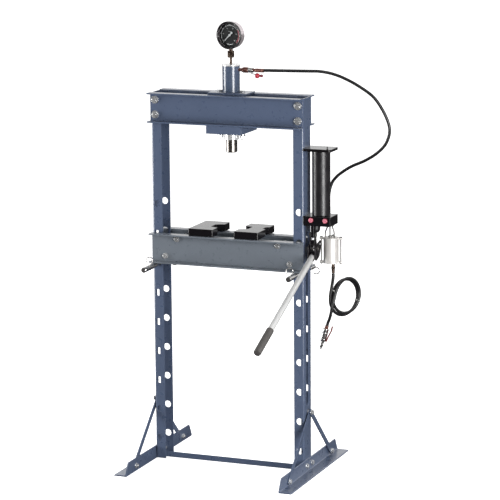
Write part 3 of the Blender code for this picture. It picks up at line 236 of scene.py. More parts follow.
def finish(name, colour, roughness, metallic=0.0, coat=0.0, variation=0.10, blotch=9.0, grain=600.0,
           bump=0.10, stretch=(1.0, 1.0, 1.0), worn=None, wear=0.0, dirt=0.0, coat_roughness=0.08):
    """A procedural surface: blotchy colour, uneven gloss, fine grain, and edges worn to another colour."""
    made = bpy.data.materials.new(name)
    made.use_nodes = True
    tree = made.node_tree
    shader = tree.nodes["Principled BSDF"]
    place = node_of(tree, "ShaderNodeTexCoord").outputs["Object"]
    broad = noise(tree, place, blotch)
    shade = remap(tree, broad, 0.3, 0.7, 1.0 - variation, 1.0 + variation)
    shades = node_of(tree, "ShaderNodeCombineColor")
    for socket in shades.inputs[:3]:
        tree.links.new(shade, socket)
    tint = mix_colour(tree, 1.0, colour, shades.outputs[0], "MULTIPLY")
    fine = noise(tree, place, grain, 6.0, stretch)
    if dirt:
        specks = remap(tree, noise(tree, place, grain * 0.12, 8.0), 0.56, 0.70, 0.0, dirt)
        tint = mix_colour(tree, specks, tint, tuple(0.45 * part for part in colour))
    if worn is not None:
        edge = node_of(tree, "ShaderNodeNewGeometry").outputs["Pointiness"]
        sharp = remap(tree, edge, 0.515, 0.60, 0.0, 1.0)
        patchy = remap(tree, noise(tree, place, 70.0, 6.0), 0.42, 0.62, 0.0, wear)
        factor = node_of(tree, "ShaderNodeMath", operation="MULTIPLY")
        tree.links.new(sharp, factor.inputs[0])
        tree.links.new(patchy, factor.inputs[1])
        tint = mix_colour(tree, factor.outputs[0], tint, worn)
    tree.links.new(tint, shader.inputs["Base Color"])
    gloss = remap(tree, noise(tree, place, blotch * 5.0, 5.0), 0.3, 0.7, roughness * 0.82, roughness * 1.22)
    tree.links.new(gloss, shader.inputs["Roughness"])
    relief = node_of(tree, "ShaderNodeBump", Strength=bump, Distance=0.0006)
    tree.links.new(fine, relief.inputs["Height"])
    tree.links.new(relief.outputs["Normal"], shader.inputs["Normal"])
    shader.inputs["Metallic"].default_value = metallic
    shader.inputs["Coat Weight"].default_value = coat
    shader.inputs["Coat Roughness"].default_value = coat_roughness
    return made


def glass_finish():
    """Thin gauge glass: clear, with a reflection that grows at the edges."""
    made = bpy.data.materials.new("clear_glass")
    made.use_nodes = True
    tree = made.node_tree
    tree.nodes.clear()
    clear = node_of(tree, "ShaderNodeBsdfTransparent", Color=(0.96, 0.97, 0.97, 1.0))
    shine = node_of(tree, "ShaderNodeBsdfGlossy", Roughness=0.03)
    place = node_of(tree, "ShaderNodeTexCoord").outputs["Object"]
    smear = remap(tree, noise(tree, place, 60.0), 0.4, 0.7, 0.02, 0.10)
    tree.links.new(smear, shine.inputs["Roughness"])
    rim = node_of(tree, "ShaderNodeFresnel", IOR=1.12)
    both = node_of(tree, "ShaderNodeMixShader")
    out = node_of(tree, "ShaderNodeOutputMaterial")
    tree.links.new(rim.outputs[0], both.inputs[0])
    tree.links.new(clear.outputs[0], both.inputs[1])
    tree.links.new(shine.outputs[0], both.inputs[2])
    tree.links.new(both.outputs[0], out.inputs["Surface"])
    return made


BARE = (0.42, 0.41, 0.40)
# look: (record's material slot, material)
LOOKS = {
    "blue_paint": ("blue_grey_paint", finish(
        "blue_paint", (0.070, 0.093, 0.150), 0.30, coat=0.35, variation=0.03, bump=0.03, grain=520.0,
        coat_roughness=0.12)),
    "blue_gloss": ("blue_grey_paint", finish(
        "blue_gloss", (0.062, 0.084, 0.132), 0.26, coat=0.35, variation=0.06, bump=0.01, grain=300.0,
        coat_roughness=0.12)),
    "grey_paint": ("slate_paint", finish(
        "grey_paint", (0.130, 0.148, 0.172), 0.30, coat=0.35, variation=0.03, bump=0.03, grain=520.0,
        coat_roughness=0.12)),
    "black_steel": ("black_steel", finish(
        "black_steel", (0.0050, 0.0042, 0.0055), 0.16, variation=0.20, bump=0.015, grain=380.0)),
    "black_gloss": ("black_steel", finish(
        "black_gloss", (0.0050, 0.0044, 0.0060), 0.36, variation=0.10, bump=0.0, grain=160.0)),
    "dark_bolt": ("zinc_plate", finish(
        "dark_bolt", (0.130, 0.125, 0.120), 0.34, metallic=0.9, variation=0.25, bump=0.15, grain=700.0,
        worn=BARE, wear=0.6)),
    "zinc": ("zinc_plate", finish(
        "zinc", (0.60, 0.61, 0.62), 0.26, metallic=0.80, variation=0.14, bump=0.12, grain=600.0,
        worn=(0.70, 0.70, 0.68), wear=0.5, dirt=0.3)),
    "steel": ("bright_steel", finish(
        "steel", (0.58, 0.57, 0.56), 0.24, metallic=1.0, variation=0.10, bump=0.10, grain=900.0,
        stretch=(1.0, 0.05, 1.0), worn=(0.75, 0.74, 0.72), wear=0.4, dirt=0.15)),
    "silver_tube": ("bright_steel", finish(
        "silver_tube", (0.50, 0.50, 0.495), 0.42, metallic=0.25, variation=0.05, bump=0.08, grain=500.0,
        stretch=(1.0, 0.1, 1.0))),
    "chrome": ("hard_chrome", finish(
        "chrome", (0.26, 0.24, 0.22), 0.26, metallic=1.0, variation=0.06, bump=0.03, grain=1200.0,
        stretch=(1.0, 1.0, 0.03))),
    "white_metal": ("hard_chrome", finish(
        "white_metal", (0.80, 0.80, 0.80), 0.25, metallic=0.6, variation=0.05, bump=0.05, grain=900.0)),
    "dark_brass": ("brass", finish(
        "dark_brass", (0.055, 0.034, 0.026), 0.26, metallic=0.85, variation=0.25, bump=0.10, grain=700.0,
        worn=(0.50, 0.40, 0.30), wear=0.5)),
    "copper": ("copper", finish(
        "copper", (0.210, 0.092, 0.075), 0.24, metallic=0.75, variation=0.20, bump=0.08, grain=700.0,
        worn=(0.62, 0.36, 0.28), wear=0.5)),
    "aluminium": ("cast_aluminium", finish(
        "aluminium", (0.60, 0.58, 0.56), 0.42, metallic=0.35, variation=0.05, bump=0.06, grain=500.0,
        dirt=0.10)),
    "rubber": ("black_rubber", finish(
        "rubber", (0.0065, 0.0062, 0.0068), 0.38, variation=0.20, bump=0.20, grain=900.0, dirt=0.2)),
    "grip_rubber": ("grip_rubber", finish(
        "grip_rubber", (0.060, 0.055, 0.052), 0.62, variation=0.15, bump=0.40, grain=1100.0, dirt=0.2)),
    "red": ("red_plastic", finish(
        "red", (0.430, 0.022, 0.045), 0.30, coat=0.3, variation=0.10, bump=0.05, grain=500.0)),
    "dark_red": ("red_plastic", finish(
        "dark_red", (0.150, 0.012, 0.025), 0.35, coat=0.2, variation=0.12, bump=0.10, grain=500.0)),
    "pink_face": ("red_plastic", finish(
        "pink_face", (0.520, 0.150, 0.200), 0.40, variation=0.08, bump=0.10, grain=500.0)),
    "dial_black": ("dial_black", finish(
        "dial_black", (0.004, 0.004, 0.005), 0.50, variation=0.10, bump=0.05, grain=900.0)),
    "bezel_black": ("dial_black", finish(
        "bezel_black", (0.004, 0.003, 0.004), 0.24, coat=0.4, variation=0.15, bump=0.08, grain=500.0,
        worn=(0.25, 0.24, 0.24), wear=0.5)),
    "gauge_side": ("bright_steel", finish(
        "gauge_side", (0.60, 0.54, 0.56), 0.28, metallic=0.7, variation=0.06, bump=0.06, grain=700.0)),
    "dial_white": ("needle_white", finish(
        "dial_white", (0.85, 0.85, 0.85), 0.45, variation=0.04, bump=0.02, grain=900.0)),
    "dial_red": ("needle_white", finish(
        "dial_red", (0.60, 0.10, 0.13), 0.45, variation=0.05, bump=0.02, grain=900.0)),
    "glass": ("needle_white", glass_finish()),
    "tie": ("black_rubber", finish(
        "tie", (0.42, 0.42, 0.40), 0.50, variation=0.06, bump=0.10, grain=900.0)),
    "trigger_red": ("copper", finish(
        "trigger_red", (0.270, 0.085, 0.080), 0.34, metallic=0.35, coat=0.2, variation=0.12, bump=0.08,
        grain=600.0)),
}


# ------------------------------------------------------------------- helpers
def show(name, bm, look, body, nodes=(), bevel=0.0, place=None, sharp=None, cutter=None):
    """Put a bmesh into the scene, less its cutter, riding on a body and standing for CAD nodes."""
    mesh = mesh_of(bm, name, sharp) if cutter is None else carved(bm, cutter, name)
    piece = bpy.data.objects.new(name, mesh)
    bpy.context.scene.collection.objects.link(piece)
    slot, material = LOOKS[look]
    mesh.materials.clear()
    mesh.materials.append(material)
    piece.matrix_world = Matrix.Translation(ORIGIN) @ (place or Matrix.Identity(4))
    if bevel:
        edge = piece.modifiers.new("Edges", "BEVEL")
        edge.width = bevel
        edge.segments = 2
        edge.limit_method = "ANGLE"
        edge.angle_limit = math.radians(38.0)
        edge.use_clamp_overlap = True
        weigh = piece.modifiers.new("Flat faces", "WEIGHTED_NORMAL")
        weigh.keep_sharp = True
    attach(piece, body)
    if nodes:
        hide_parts(*nodes)
    return piece


def mesh_of(bm, name, sharp=None):
    """The bmesh as a smooth-shaded mesh.  sharp is the angle in degrees above which edges stay hard."""
    bmesh.ops.recalc_face_normals(bm, faces=bm.faces)
    mesh = bpy.data.meshes.new(name)
    bm.to_mesh(mesh)
    bm.free()
    mesh.shade_smooth()
    if sharp is not None:
        mesh.set_sharp_from_angle(angle=math.radians(sharp))
    return mesh


def along(start, direction):
    """Matrix whose origin is start and whose Z axis has the direction."""
    turn = Vector(direction).to_track_quat("Z", "Y").to_matrix().to_4x4()
    return Matrix.Translation(Vector(start)) @ turn


def prism(bm, points, height, place):
    """A closed outline in local XY, carried up by height."""
    low = [bm.verts.new(place @ Vector((x, y, 0.0))) for x, y in points]
    high = [bm.verts.new(place @ Vector((x, y, height))) for x, y in points]
    for index in range(len(points)):
        after = (index + 1) % len(points)
        bm.faces.new((low[index], low[after], high[after], high[index]))
    bm.faces.new(list(reversed(low)))
    bm.faces.new(high)


def block(bm, low, high):
    corners = [(low[0], low[1]), (high[0], low[1]), (high[0], high[1]), (low[0], high[1])]
    prism(bm, corners, high[2] - low[2], Matrix.Translation((0.0, 0.0, low[2])))


def lathe(bm, place, profile, steps=48, closed=False):
    """Turn (radius, height) points about local Z.  closed joins the last point to the first."""
    rings = []
    for radius, height in profile:
        count = 1 if radius == 0.0 else steps
        rings.append([bm.verts.new(place @ Vector((radius * math.cos(math.tau * k / steps),
                                                   radius * math.sin(math.tau * k / steps), height)))
                      for k in range(count)])
    pairs = list(zip(rings, rings[1:]))
    if closed:
        pairs.append((rings[-1], rings[0]))
    for first, second in pairs:
        for k in range(steps):
            after = (k + 1) % steps
            corners = (first[k % len(first)], first[after % len(first)],
                       second[after % len(second)], second[k % len(second)])
            corners = list(dict.fromkeys(corners))
            if len(corners) > 2:
                bm.faces.new(corners)


def cylinder(bm, start, end, radius, steps=32):
    length = (Vector(end) - Vector(start)).length
    place = along(start, Vector(end) - Vector(start))
    lathe(bm, place, ((0.0, 0.0), (radius, 0.0), (radius, length), (0.0, length)), steps)


def rounded_outline(corners, steps=8):
    """Corners are (x, y, radius); round ones become arcs of `steps` segments."""
    outline = []
    count = len(corners)
    for index, (x, y, radius) in enumerate(corners):
        here = Vector((x, y))
        if radius <= 0.0:
            outline.append(here)
            continue
        before = (Vector(corners[index - 1][:2]) - here).normalized()
        after = (Vector(corners[(index + 1) % count][:2]) - here).normalized()
        half = before.angle(after) / 2
        centre = here + (before + after).normalized() * (radius / math.sin(half))
        first = here + before * (radius / math.tan(half)) - centre
        last = here + after * (radius / math.tan(half)) - centre
        turn = first.angle_signed(last)
        for step in range(steps + 1):
            outline.append(centre + Matrix.Rotation(-turn * step / steps, 2) @ first)
    return outline


def carved(bm, cutter, name):
    """The mesh of bm with the bodies in cutter cut away."""
    target = bpy.data.objects.new(name + "_blank", mesh_of(bm, name + "_blank"))
    tool = bpy.data.objects.new(name + "_tool", mesh_of(cutter, name + "_tool"))
    for thing in (target, tool):
        bpy.context.scene.collection.objects.link(thing)
    cut = target.modifiers.new("Cut", "BOOLEAN")
    cut.operation = "DIFFERENCE"
    cut.object = tool
    bpy.context.view_layer.update()
    result = target.evaluated_get(bpy.context.evaluated_depsgraph_get())
    mesh = bpy.data.meshes.new_from_object(result)
    mesh.name = name
    for thing in (target, tool):
        bpy.data.objects.remove(thing, do_unlink=True)
    mesh.shade_smooth()
    return mesh


def smooth_points(route, spacing):
    """Evenly spaced points on a Catmull-Rom curve through the route."""
    knots = [Vector(point) for point in route]
    knots = [2 * knots[0] - knots[1]] + knots + [2 * knots[-1] - knots[-2]]
    dense = []
    for k in range(1, len(knots) - 2):
        a, b, c, d = knots[k - 1:k + 3]
        for step in range(20):
            t = step / 20
            dense.append(0.5 * (2 * b + (c - a) * t + (2 * a - 5 * b + 4 * c - d) * t ** 2
                                + (3 * b - a - 3 * c + d) * t ** 3))
    dense.append(knots[-2])
    total = sum((after - before).length for before, after in zip(dense, dense[1:]))
    count = max(3, round(total / spacing))
    picked, walked = [dense[0]], 0.0
    for before, after in zip(dense, dense[1:]):
        walked += (after - before).length
        if walked >= total / count * len(picked) and len(picked) < count:
            picked.append(after)
    picked.append(dense[-1])
    return picked


def tube_curve(name, points, radius, resolution=6):
    """A round curve object's data along the points."""
    curve = bpy.data.curves.new(name, "CURVE")
    curve.dimensions = "3D"
    curve.bevel_depth = radius
    curve.bevel_resolution = resolution
    curve.use_fill_caps = True
    spline = curve.splines.new("POLY")
    spline.points.add(len(points) - 1)
    for control, point in zip(spline.points, points):
        control.co = (*point, 1.0)
    return curve


def add_tube(bm, points, radius, resolution=5):
    """A round bar along the points, with closed ends, added to bm."""
    guide = bpy.data.objects.new("guide", tube_curve("guide", points, radius, resolution))
    bpy.context.scene.collection.objects.link(guide)
    bpy.context.view_layer.update()
    mesh = bpy.data.meshes.new_from_object(guide.evaluated_get(bpy.context.evaluated_depsgraph_get()))
    bpy.data.objects.remove(guide, do_unlink=True)
    tube = bmesh.new()
    tube.from_mesh(mesh)
    bmesh.ops.remove_doubles(tube, verts=tube.verts, dist=0.00002)
    tube.to_mesh(mesh)
    tube.free()
    bm.from_mesh(mesh)


def hexagon(half_width, turn=0.0):
    reach = half_width / math.cos(math.pi / 6)
    return [(reach * math.cos(turn + math.tau * k / 6), reach * math.sin(turn + math.tau * k / 6))
            for k in range(6)]


def thread(radius, low, high, pitch=0.00125, depth=0.00045):
    """Profile points of a screw thread, drawn as close rings."""
    points = []
    count = max(1, int((high - low) / pitch))
    for k in range(count):
        z = low + pitch * k
        points += [(radius - depth, z), (radius, z + pitch / 2)]
    points.append((radius - depth, low + pitch * count))
    return points


def hex_end(bm, surface, direction, radius, height=None, stub=0.0, washer=0.0012):
    """Washer and hexagon sitting on a surface; stub is the thread that stands past a nut."""
    height = height or radius * 1.2
    place = along(surface, direction)
    if washer:
        lathe(bm, place, ((radius, 0.0), (radius * 2.1, 0.0), (radius * 2.1, washer), (radius, washer)),
              40, closed=True)
    prism(bm, hexagon(radius * 1.6, 0.3), height, place @ Matrix.Translation((0.0, 0.0, washer)))
    top = washer + height
    if stub:
        profile = [(0.0, top - 0.001)] + thread(radius * 0.92, top - 0.001, top + stub) + [(0.0, top + stub)]
        lathe(bm, place, profile, 28)
    else:
        lathe(bm, place, ((0.0, top - 0.0005), (radius * 1.25, top - 0.0005), (radius * 1.18, top + 0.0003),
                          (0.0, top + 0.0003)), 32)


def through_bolt(bm, head_at, nut_at, radius, stub=0.003):
    """Bolt whose head rests at head_at and whose nut rests at nut_at."""
    axis = (Vector(nut_at) - Vector(head_at)).normalized()
    hex_end(bm, head_at, -axis, radius)
    hex_end(bm, nut_at, axis, radius, stub=stub)
    cylinder(bm, Vector(head_at) - axis * 0.0005, Vector(nut_at) + axis * 0.0005, radius * 0.97, 28)


TO_X = Matrix(((0, 0, 1, 0), (1, 0, 0, 0), (0, 1, 0, 0), (0, 0, 0, 1)))       # outline in YZ, height +X
TO_FRONT = Matrix(((1, 0, 0, 0), (0, 0, -1, 0), (0, 1, 0, 0), (0, 0, 0, 1)))  # outline in XZ, height -Y


# -------------------------------------------------------------------- camera
def build_camera():
    data = bpy.data.cameras.new("camera")
    data.lens = CAMERA_LENS
    data.sensor_width = 36.0
    data.clip_end = 100.0
    camera = bpy.data.objects.new("camera", data)
    bpy.context.scene.collection.objects.link(camera)
    flat = math.cos(CAMERA_ELEVATION)
    right = Vector((math.cos(CAMERA_AZIMUTH), math.sin(CAMERA_AZIMUTH), 0.0))
    forward = Vector((-math.sin(CAMERA_AZIMUTH) * flat, math.cos(CAMERA_AZIMUTH) * flat,
                      -math.sin(CAMERA_ELEVATION)))
    up = right.cross(forward)
    rolled_right = right * math.cos(CAMERA_ROLL) + up * math.sin(CAMERA_ROLL)
    rolled_up = up * math.cos(CAMERA_ROLL) - right * math.sin(CAMERA_ROLL)
    turn = Matrix((rolled_right, rolled_up, -forward)).transposed().to_4x4()
    camera.matrix_world = Matrix.Translation(CAMERA_PLACE + ORIGIN) @ turn
    bpy.context.scene.camera = camera


# --------------------------------------------------------------------- hoses
def coil_points():
    """Two turns of the air hose, wound side by side round the ring and drawn in at the end."""
    across = Vector((math.cos(COIL_YAW), math.sin(COIL_YAW), 0.0))
    side = Vector((-math.sin(COIL_YAW), math.cos(COIL_YAW), 0.0))
    start, steps = math.radians(176.0), 44
    points = []
    for step in range(steps + 1):
        turn = COIL_TURNS * step / steps
        around = start + math.tau * turn
        phase = math.radians(90.0 - 180.0 * turn)
        offset, rise = COIL_HALF_PITCH * math.cos(phase), COIL_HALF_PITCH * math.sin(phase)
        late = min(max((turn - 1.60) / 0.35, 0.0), 1.0)
        late = late * late * (3.0 - 2.0 * late)
        offset += (-0.0150 - offset) * late
        rise += (-0.0030 - rise) * late
        radius = COIL_RADIUS + rise
        points.append(COIL_CENTRE + across * radius * math.cos(around) + side * offset
                      + Vector((0.0, 0.0, radius * math.sin(around))))
    return points


def build_hose(name, points, nodes):
    piece = bpy.data.objects.new(name, tube_curve(name, [point + ORIGIN for point in points],
                                                  HOSE_DIAMETER / 2))
    bpy.context.scene.collection.objects.link(piece)
    slot, material = LOOKS["rubber"]
    piece.data.materials.append(material)
    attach(piece, "frame")
    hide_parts(*nodes)
    return piece


def build_hoses():
    points = smooth_points(HYDRAULIC_ROUTE, 0.006)
    hydraulic = build_hose("hydraulic_hose_fine", points, ["hydraulic_hose"])
    valve, trigger = build_air_valve()
    ties = build_hose_ties()
    route = [*map(Vector, AIR_LEAD_ROUTE), *coil_points(), *map(Vector, AIR_TAIL_ROUTE)]
    points = smooth_points(route, 0.004)
    air = build_hose("air_hose", points, ["air_hose_lead", "air_hose_coil", "air_hose_tail"])


def build_hose_ties():
    """Two light cable ties that hold the turns of the ring together."""
    across = Vector((math.cos(COIL_YAW), math.sin(COIL_YAW), 0.0))
    side = Vector((-math.sin(COIL_YAW), math.cos(COIL_YAW), 0.0))
    bm = bmesh.new()
    for degrees in TIE_ANGLES:
        around = math.radians(degrees)
        outward = across * math.cos(around) + Vector((0.0, 0.0, math.sin(around)))
        forward = outward.cross(side).normalized()
        turn = Matrix((side, outward, forward)).transposed().to_4x4()
        place = Matrix.Translation(COIL_CENTRE + outward * COIL_RADIUS) @ turn
        loop = [(0.0128 * math.cos(math.tau * k / 40),
                 0.0072 * math.sin(math.tau * k / 40)) for k in range(40)]
        inner = [(x * 0.93, y * 0.88) for x, y in loop]
        rims = []
        for outline, height in ((loop, -0.0018), (loop, 0.0018), (inner, 0.0018), (inner, -0.0018)):
            rims.append([bm.verts.new(place @ Vector((x, y, height))) for x, y in outline])
        for first, second in zip(rims, rims[1:] + rims[:1]):
            for k in range(40):
                after = (k + 1) % 40
                bm.faces.new((first[k], first[after], second[after], second[k]))
        block_place = place @ Matrix.Translation((-0.004, 0.0068, -0.0026))
        prism(bm, [(0.0, 0.0), (0.0062, 0.0), (0.0062, 0.0040), (0.0, 0.0040)], 0.0052, block_place)
    return show("air_hose_ties", bm, "tie", "frame", sharp=40.0)


def valve_place():
    return Matrix.Translation(VALVE_TOP) @ Euler((0.0, VALVE_LEAN, 0.0)).to_matrix().to_4x4()


def build_air_valve():
    """Hose fitting, trigger valve body with grooves, and nozzle; then the lever."""
    place = valve_place()
    bm = bmesh.new()
    lathe(bm, place, (
        (0.0, -0.0125), (0.0100, -0.0125), (0.0108, -0.0145), (0.0108, -0.0240), (0.0102, -0.0246),
        (0.0102, -0.0262), (0.0108, -0.0268), (0.0108, -0.0500), (0.0102, -0.0506), (0.0102, -0.0522),
        (0.0108, -0.0528), (0.0108, -0.0580), (0.0094, -0.0610), (0.0085, -0.0622), (0.0, -0.0622)))
    body = show("air_valve_body_fine", bm, "steel", "frame",
                ["air_valve_body"], bevel=0.0004)
    bm = bmesh.new()
    lathe(bm, place, (
        (0.0, 0.0), (0.0066, 0.0), (0.0070, -0.0010), (0.0066, -0.0020), (0.0070, -0.0030),
        (0.0066, -0.0040), (0.0070, -0.0052), (0.0070, -0.0128), (0.0, -0.0128)), 32)
    prism(bm, hexagon(0.0062), 0.0050, place @ Matrix.Translation((0.0, 0.0, -0.0115)))
    fitting = show("air_valve_fitting", bm, "copper", "frame", bevel=0.0003)
    bm = bmesh.new()
    lathe(bm, place, (
        (0.0, -0.0620), (0.0062, -0.0620), (0.0062, -0.0700), (0.0056, -0.0706), (0.0056, -0.0722),
        (0.0062, -0.0728), (0.0062, -0.0820), (0.0044, -0.0860), (0.0040, -0.0880), (0.0040, -0.0940),
        (0.0026, -0.0940), (0.0026, -0.0900), (0.0, -0.0900)), 32)
    nozzle = show("air_valve_nozzle", bm, "steel", "frame", bevel=0.0003)
    hinge = place @ Matrix.Translation((0.0138, 0.0, -0.0560))
    outline = rounded_outline((
        (-0.0014, -0.004, 0.0013), (0.0014, -0.004, 0.0013), (0.0014, 0.006, 0.0), (0.0085, 0.040, 0.004),
        (0.0080, 0.060, 0.001), (0.0052, 0.060, 0.001), (0.0056, 0.041, 0.004), (-0.0014, 0.008, 0.0)), 5)
    bm = bmesh.new()
    prism(bm, outline, 0.014, hinge @ Matrix.Translation((0.0, 0.007, 0.0)) @ TO_FRONT)
    lever = show("air_valve_lever_fine", bm, "trigger_red", "air_trigger",
                 ["air_valve_lever"], bevel=0.0007)
    return [body, fitting, nozzle], [lever]


# --------------------------------------------------------------------- frame
def channel_outline(height, flange, wall=STEEL, outer=0.008, inner=0.003):
    """C section in local XY: web along X at y = 0, flanges towards +Y."""
    h = height / 2
    return rounded_outline((
        (-h, 0.0, outer), (h, 0.0, outer), (h, flange, 0.0), (h - wall, flange, 0.0),
        (h - wall, wall, inner), (-h + wall, wall, inner), (-h + wall, flange, 0.0),
        (-h, flange, 0.0),
    ))


def web_bolts(side):
    bolts = [(y, z, FOOT_BOLT_RADIUS) for y, z in NEAR_BOLTS + (tuple(BRACE_TOP),)]
    if side > 0:
        bolts += [(y, z, PUMP_BOLT_RADIUS) for y, z in PUMP_BOLTS]
    return bolts


def build_upright(node, side):
    outline = [(side * (POST_OUTER_X - y), x) for x, y in channel_outline(POST_DEPTH, POST_FLANGE)]
    bm = bmesh.new()
    prism(bm, outline, POST_TOP - POST_BOTTOM, Matrix.Translation((0.0, 0.0, POST_BOTTOM)))
    cutter = bmesh.new()
    for levels, radius, steps in ((HOLE_LEVELS, HOLE_RADIUS, 36),
                                  (CROWN_BOLT_LEVELS, CROWN_BOLT_RADIUS + BOLT_CLEARANCE, 28)):
        for level in levels:
            cylinder(cutter, (side * HOLE_X, -POST_DEPTH, level), (side * HOLE_X, POST_DEPTH, level),
                     radius, steps)
    for y, z, radius in web_bolts(side):
        cylinder(cutter, (side * 0.28, y, z), (side * 0.32, y, z), radius + BOLT_CLEARANCE, 24)
    half = SLOT_WIDTH / 2
    ends = [(-half, SLOT_BOTTOM), (half, SLOT_BOTTOM), (half, SLOT_TOP), (-half, SLOT_TOP)]
    slot = rounded_outline([(y, z, SLOT_WIDTH * 0.49) for y, z in ends], 12)
    start = 0.29 if side > 0 else -0.31
    prism(cutter, slot, 0.020, Matrix.Translation((start, 0.0, 0.0)) @ TO_X)
    show(node + "_fine", bm, "blue_paint", "frame", [node], bevel=0.0006, cutter=cutter)


def build_channel(node, front, inner_y, bottom, height, look, body, holes):
    """A C section along X, its web inboard.  front is -1 for the front channel."""
    outline = [(front * (inner_y + y), bottom + height / 2 + x)
               for x, y in channel_outline(height, POST_FLANGE)]
    bm = bmesh.new()
    prism(bm, outline, 2 * POST_OUTER_X, Matrix.Translation((-POST_OUTER_X, 0.0, 0.0)) @ TO_X)
    cutter = bmesh.new()
    for x, z, radius in holes:
        cylinder(cutter, (x, front * (inner_y - 0.01), z), (x, front * (inner_y + 0.02), z),
                 radius + BOLT_CLEARANCE, 28)
    show(node + "_fine", bm, look, body, [node], bevel=0.0008, cutter=cutter)


def build_crown():
    height = CROWN_TOP - CROWN_BOTTOM
    places = [(side * HOLE_X, level) for side in (-1, 1) for level in CROWN_BOLT_LEVELS]
    holes = [(x, z, CROWN_BOLT_RADIUS) for x, z in places]
    bolts = bmesh.new()
    for name, front in (("crown_channel_front", -1), ("crown_channel_back", 1)):
        build_channel(name, front, CROWN_INNER_Y, CROWN_BOTTOM, height, "blue_paint", "frame", holes)
        for x, z in places:
            through_bolt(bolts, (x, front * (CROWN_INNER_Y + STEEL), z),
                         (x, front * (POST_DEPTH / 2 - STEEL), z), CROWN_BOLT_RADIUS)
    show("crown_bolts", bolts, "zinc", "frame", bevel=0.0005)


def build_foot(node, side):
    inner = POST_OUTER_X + GAP
    corners = ((inner, 0.0, 0.0), (inner + FOOT_LEG, 0.0, 0.0), (inner + FOOT_LEG, STEEL, 0.002),
               (inner + STEEL, STEEL, 0.003), (inner + STEEL, FOOT_LEG, 0.002),
               (inner, FOOT_LEG, 0.0))
    outline = [(side * point.x, point.y) for point in rounded_outline(corners, 6)]
    bm = bmesh.new()
    place = Matrix(((1, 0, 0, 0), (0, 0, 1, -FOOT_HALF), (0, 1, 0, 0), (0, 0, 0, 1)))
    prism(bm, outline, 2 * FOOT_HALF, place)
    cutter = bmesh.new()
    start = inner - 0.01 if side > 0 else -inner - 0.02
    for end in (-1, 1):
        past = end * (FOOT_HALF + 0.01)
        wedge = [(end * (FOOT_HALF - FOOT_CHAMFER), FOOT_LEG + 0.002), (past, FOOT_LEG + 0.002),
                 (past, STEEL + 0.001), (end * FOOT_HALF, STEEL + 0.001)]
        prism(cutter, wedge, 0.03, Matrix.Translation((start, 0.0, 0.0)) @ TO_X)
    for y, z in NEAR_BOLTS + tuple(tuple(end) for end in BRACE_ENDS):
        cylinder(cutter, (side * 0.29, y, z), (side * 0.32, y, z), FOOT_BOLT_RADIUS + BOLT_CLEARANCE, 28)
    show(node + "_fine", bm, "blue_paint", "frame", [node], bevel=0.0006, cutter=cutter)


def brace_x(layer):
    return POST_OUTER_X + STEEL + 2 * GAP + layer * (BRACE_THICKNESS + GAP)


def build_brace(node, side, layer):
    low = BRACE_ENDS[layer]
    run = (low - BRACE_TOP).normalized()
    across = Vector((-run.y, run.x)) * BRACE_WIDTH / 2
    start, end = BRACE_TOP - run * BRACE_LAP, low + run * BRACE_LAP
    corners = [(*(start + across), 0.006), (*(end + across), 0.006),
               (*(end - across), 0.006), (*(start - across), 0.006)]
    x = brace_x(layer)
    place = Matrix.Translation((x if side > 0 else -x - BRACE_THICKNESS, 0.0, 0.0)) @ TO_X
    bm = bmesh.new()
    prism(bm, rounded_outline(corners, 8), BRACE_THICKNESS, place)
    cutter = bmesh.new()
    for y, z in (BRACE_TOP, low):
        cylinder(cutter, (side * 0.30, y, z), (side * 0.33, y, z), FOOT_BOLT_RADIUS + BOLT_CLEARANCE, 28)
    show(node + "_fine", bm, "blue_paint", "frame", [node], bevel=0.0006, cutter=cutter)


def build_base():
    bolts = bmesh.new()
    for name, side in (("left", -1), ("right", 1)):
        build_foot(name + "_foot", side)
        build_brace(name + "_front_brace", side, 0)
        build_brace(name + "_back_brace", side, 1)
        web = side * (POST_OUTER_X - STEEL)
        for y, z in NEAR_BOLTS:
            through_bolt(bolts, (side * (POST_OUTER_X + GAP + STEEL), y, z), (web, y, z), FOOT_BOLT_RADIUS)
        outer = side * (brace_x(1) + BRACE_THICKNESS)
        through_bolt(bolts, (outer, *BRACE_TOP), (web, *BRACE_TOP), FOOT_BOLT_RADIUS)
        cylinder(bolts, (side * (POST_OUTER_X + GAP), *BRACE_TOP), (side * (brace_x(0) - GAP), *BRACE_TOP),
                 0.0085)
        for layer, end in enumerate(BRACE_ENDS):
            through_bolt(bolts, (side * (brace_x(layer) + BRACE_THICKNESS), *end),
                         (side * (POST_OUTER_X + GAP), *end), FOOT_BOLT_RADIUS)
    show("foot_bolts", bolts, "zinc", "frame", bevel=0.0004)
    reach = POST_OUTER_X - STEEL - GAP
    front = -POST_DEPTH / 2 + STEEL + GAP
    corners = ((front, 0.010, 0.0), (front + 0.020, 0.010, 0.0), (front + 0.020, 0.013, 0.0),
               (front + 0.003, 0.013, 0.001), (front + 0.003, 0.031, 0.0), (front, 0.031, 0.0))
    bm = bmesh.new()
    prism(bm, rounded_outline(corners, 3), 2 * reach, Matrix.Translation((-reach, 0.0, 0.0)) @ TO_X)
    cutter = bmesh.new()
    for side in (-1, 1):
        block(cutter, (side * 0.296 - 0.016, NEAR_BOLTS[0][0] - 0.0105, 0.0),
              (side * 0.296 + 0.016, NEAR_BOLTS[0][0] + 0.0105, 0.05))
    show("base_tie_bar_fine", bm, "blue_paint", "frame",
         ["base_tie_bar"], bevel=0.0004, cutter=cutter)


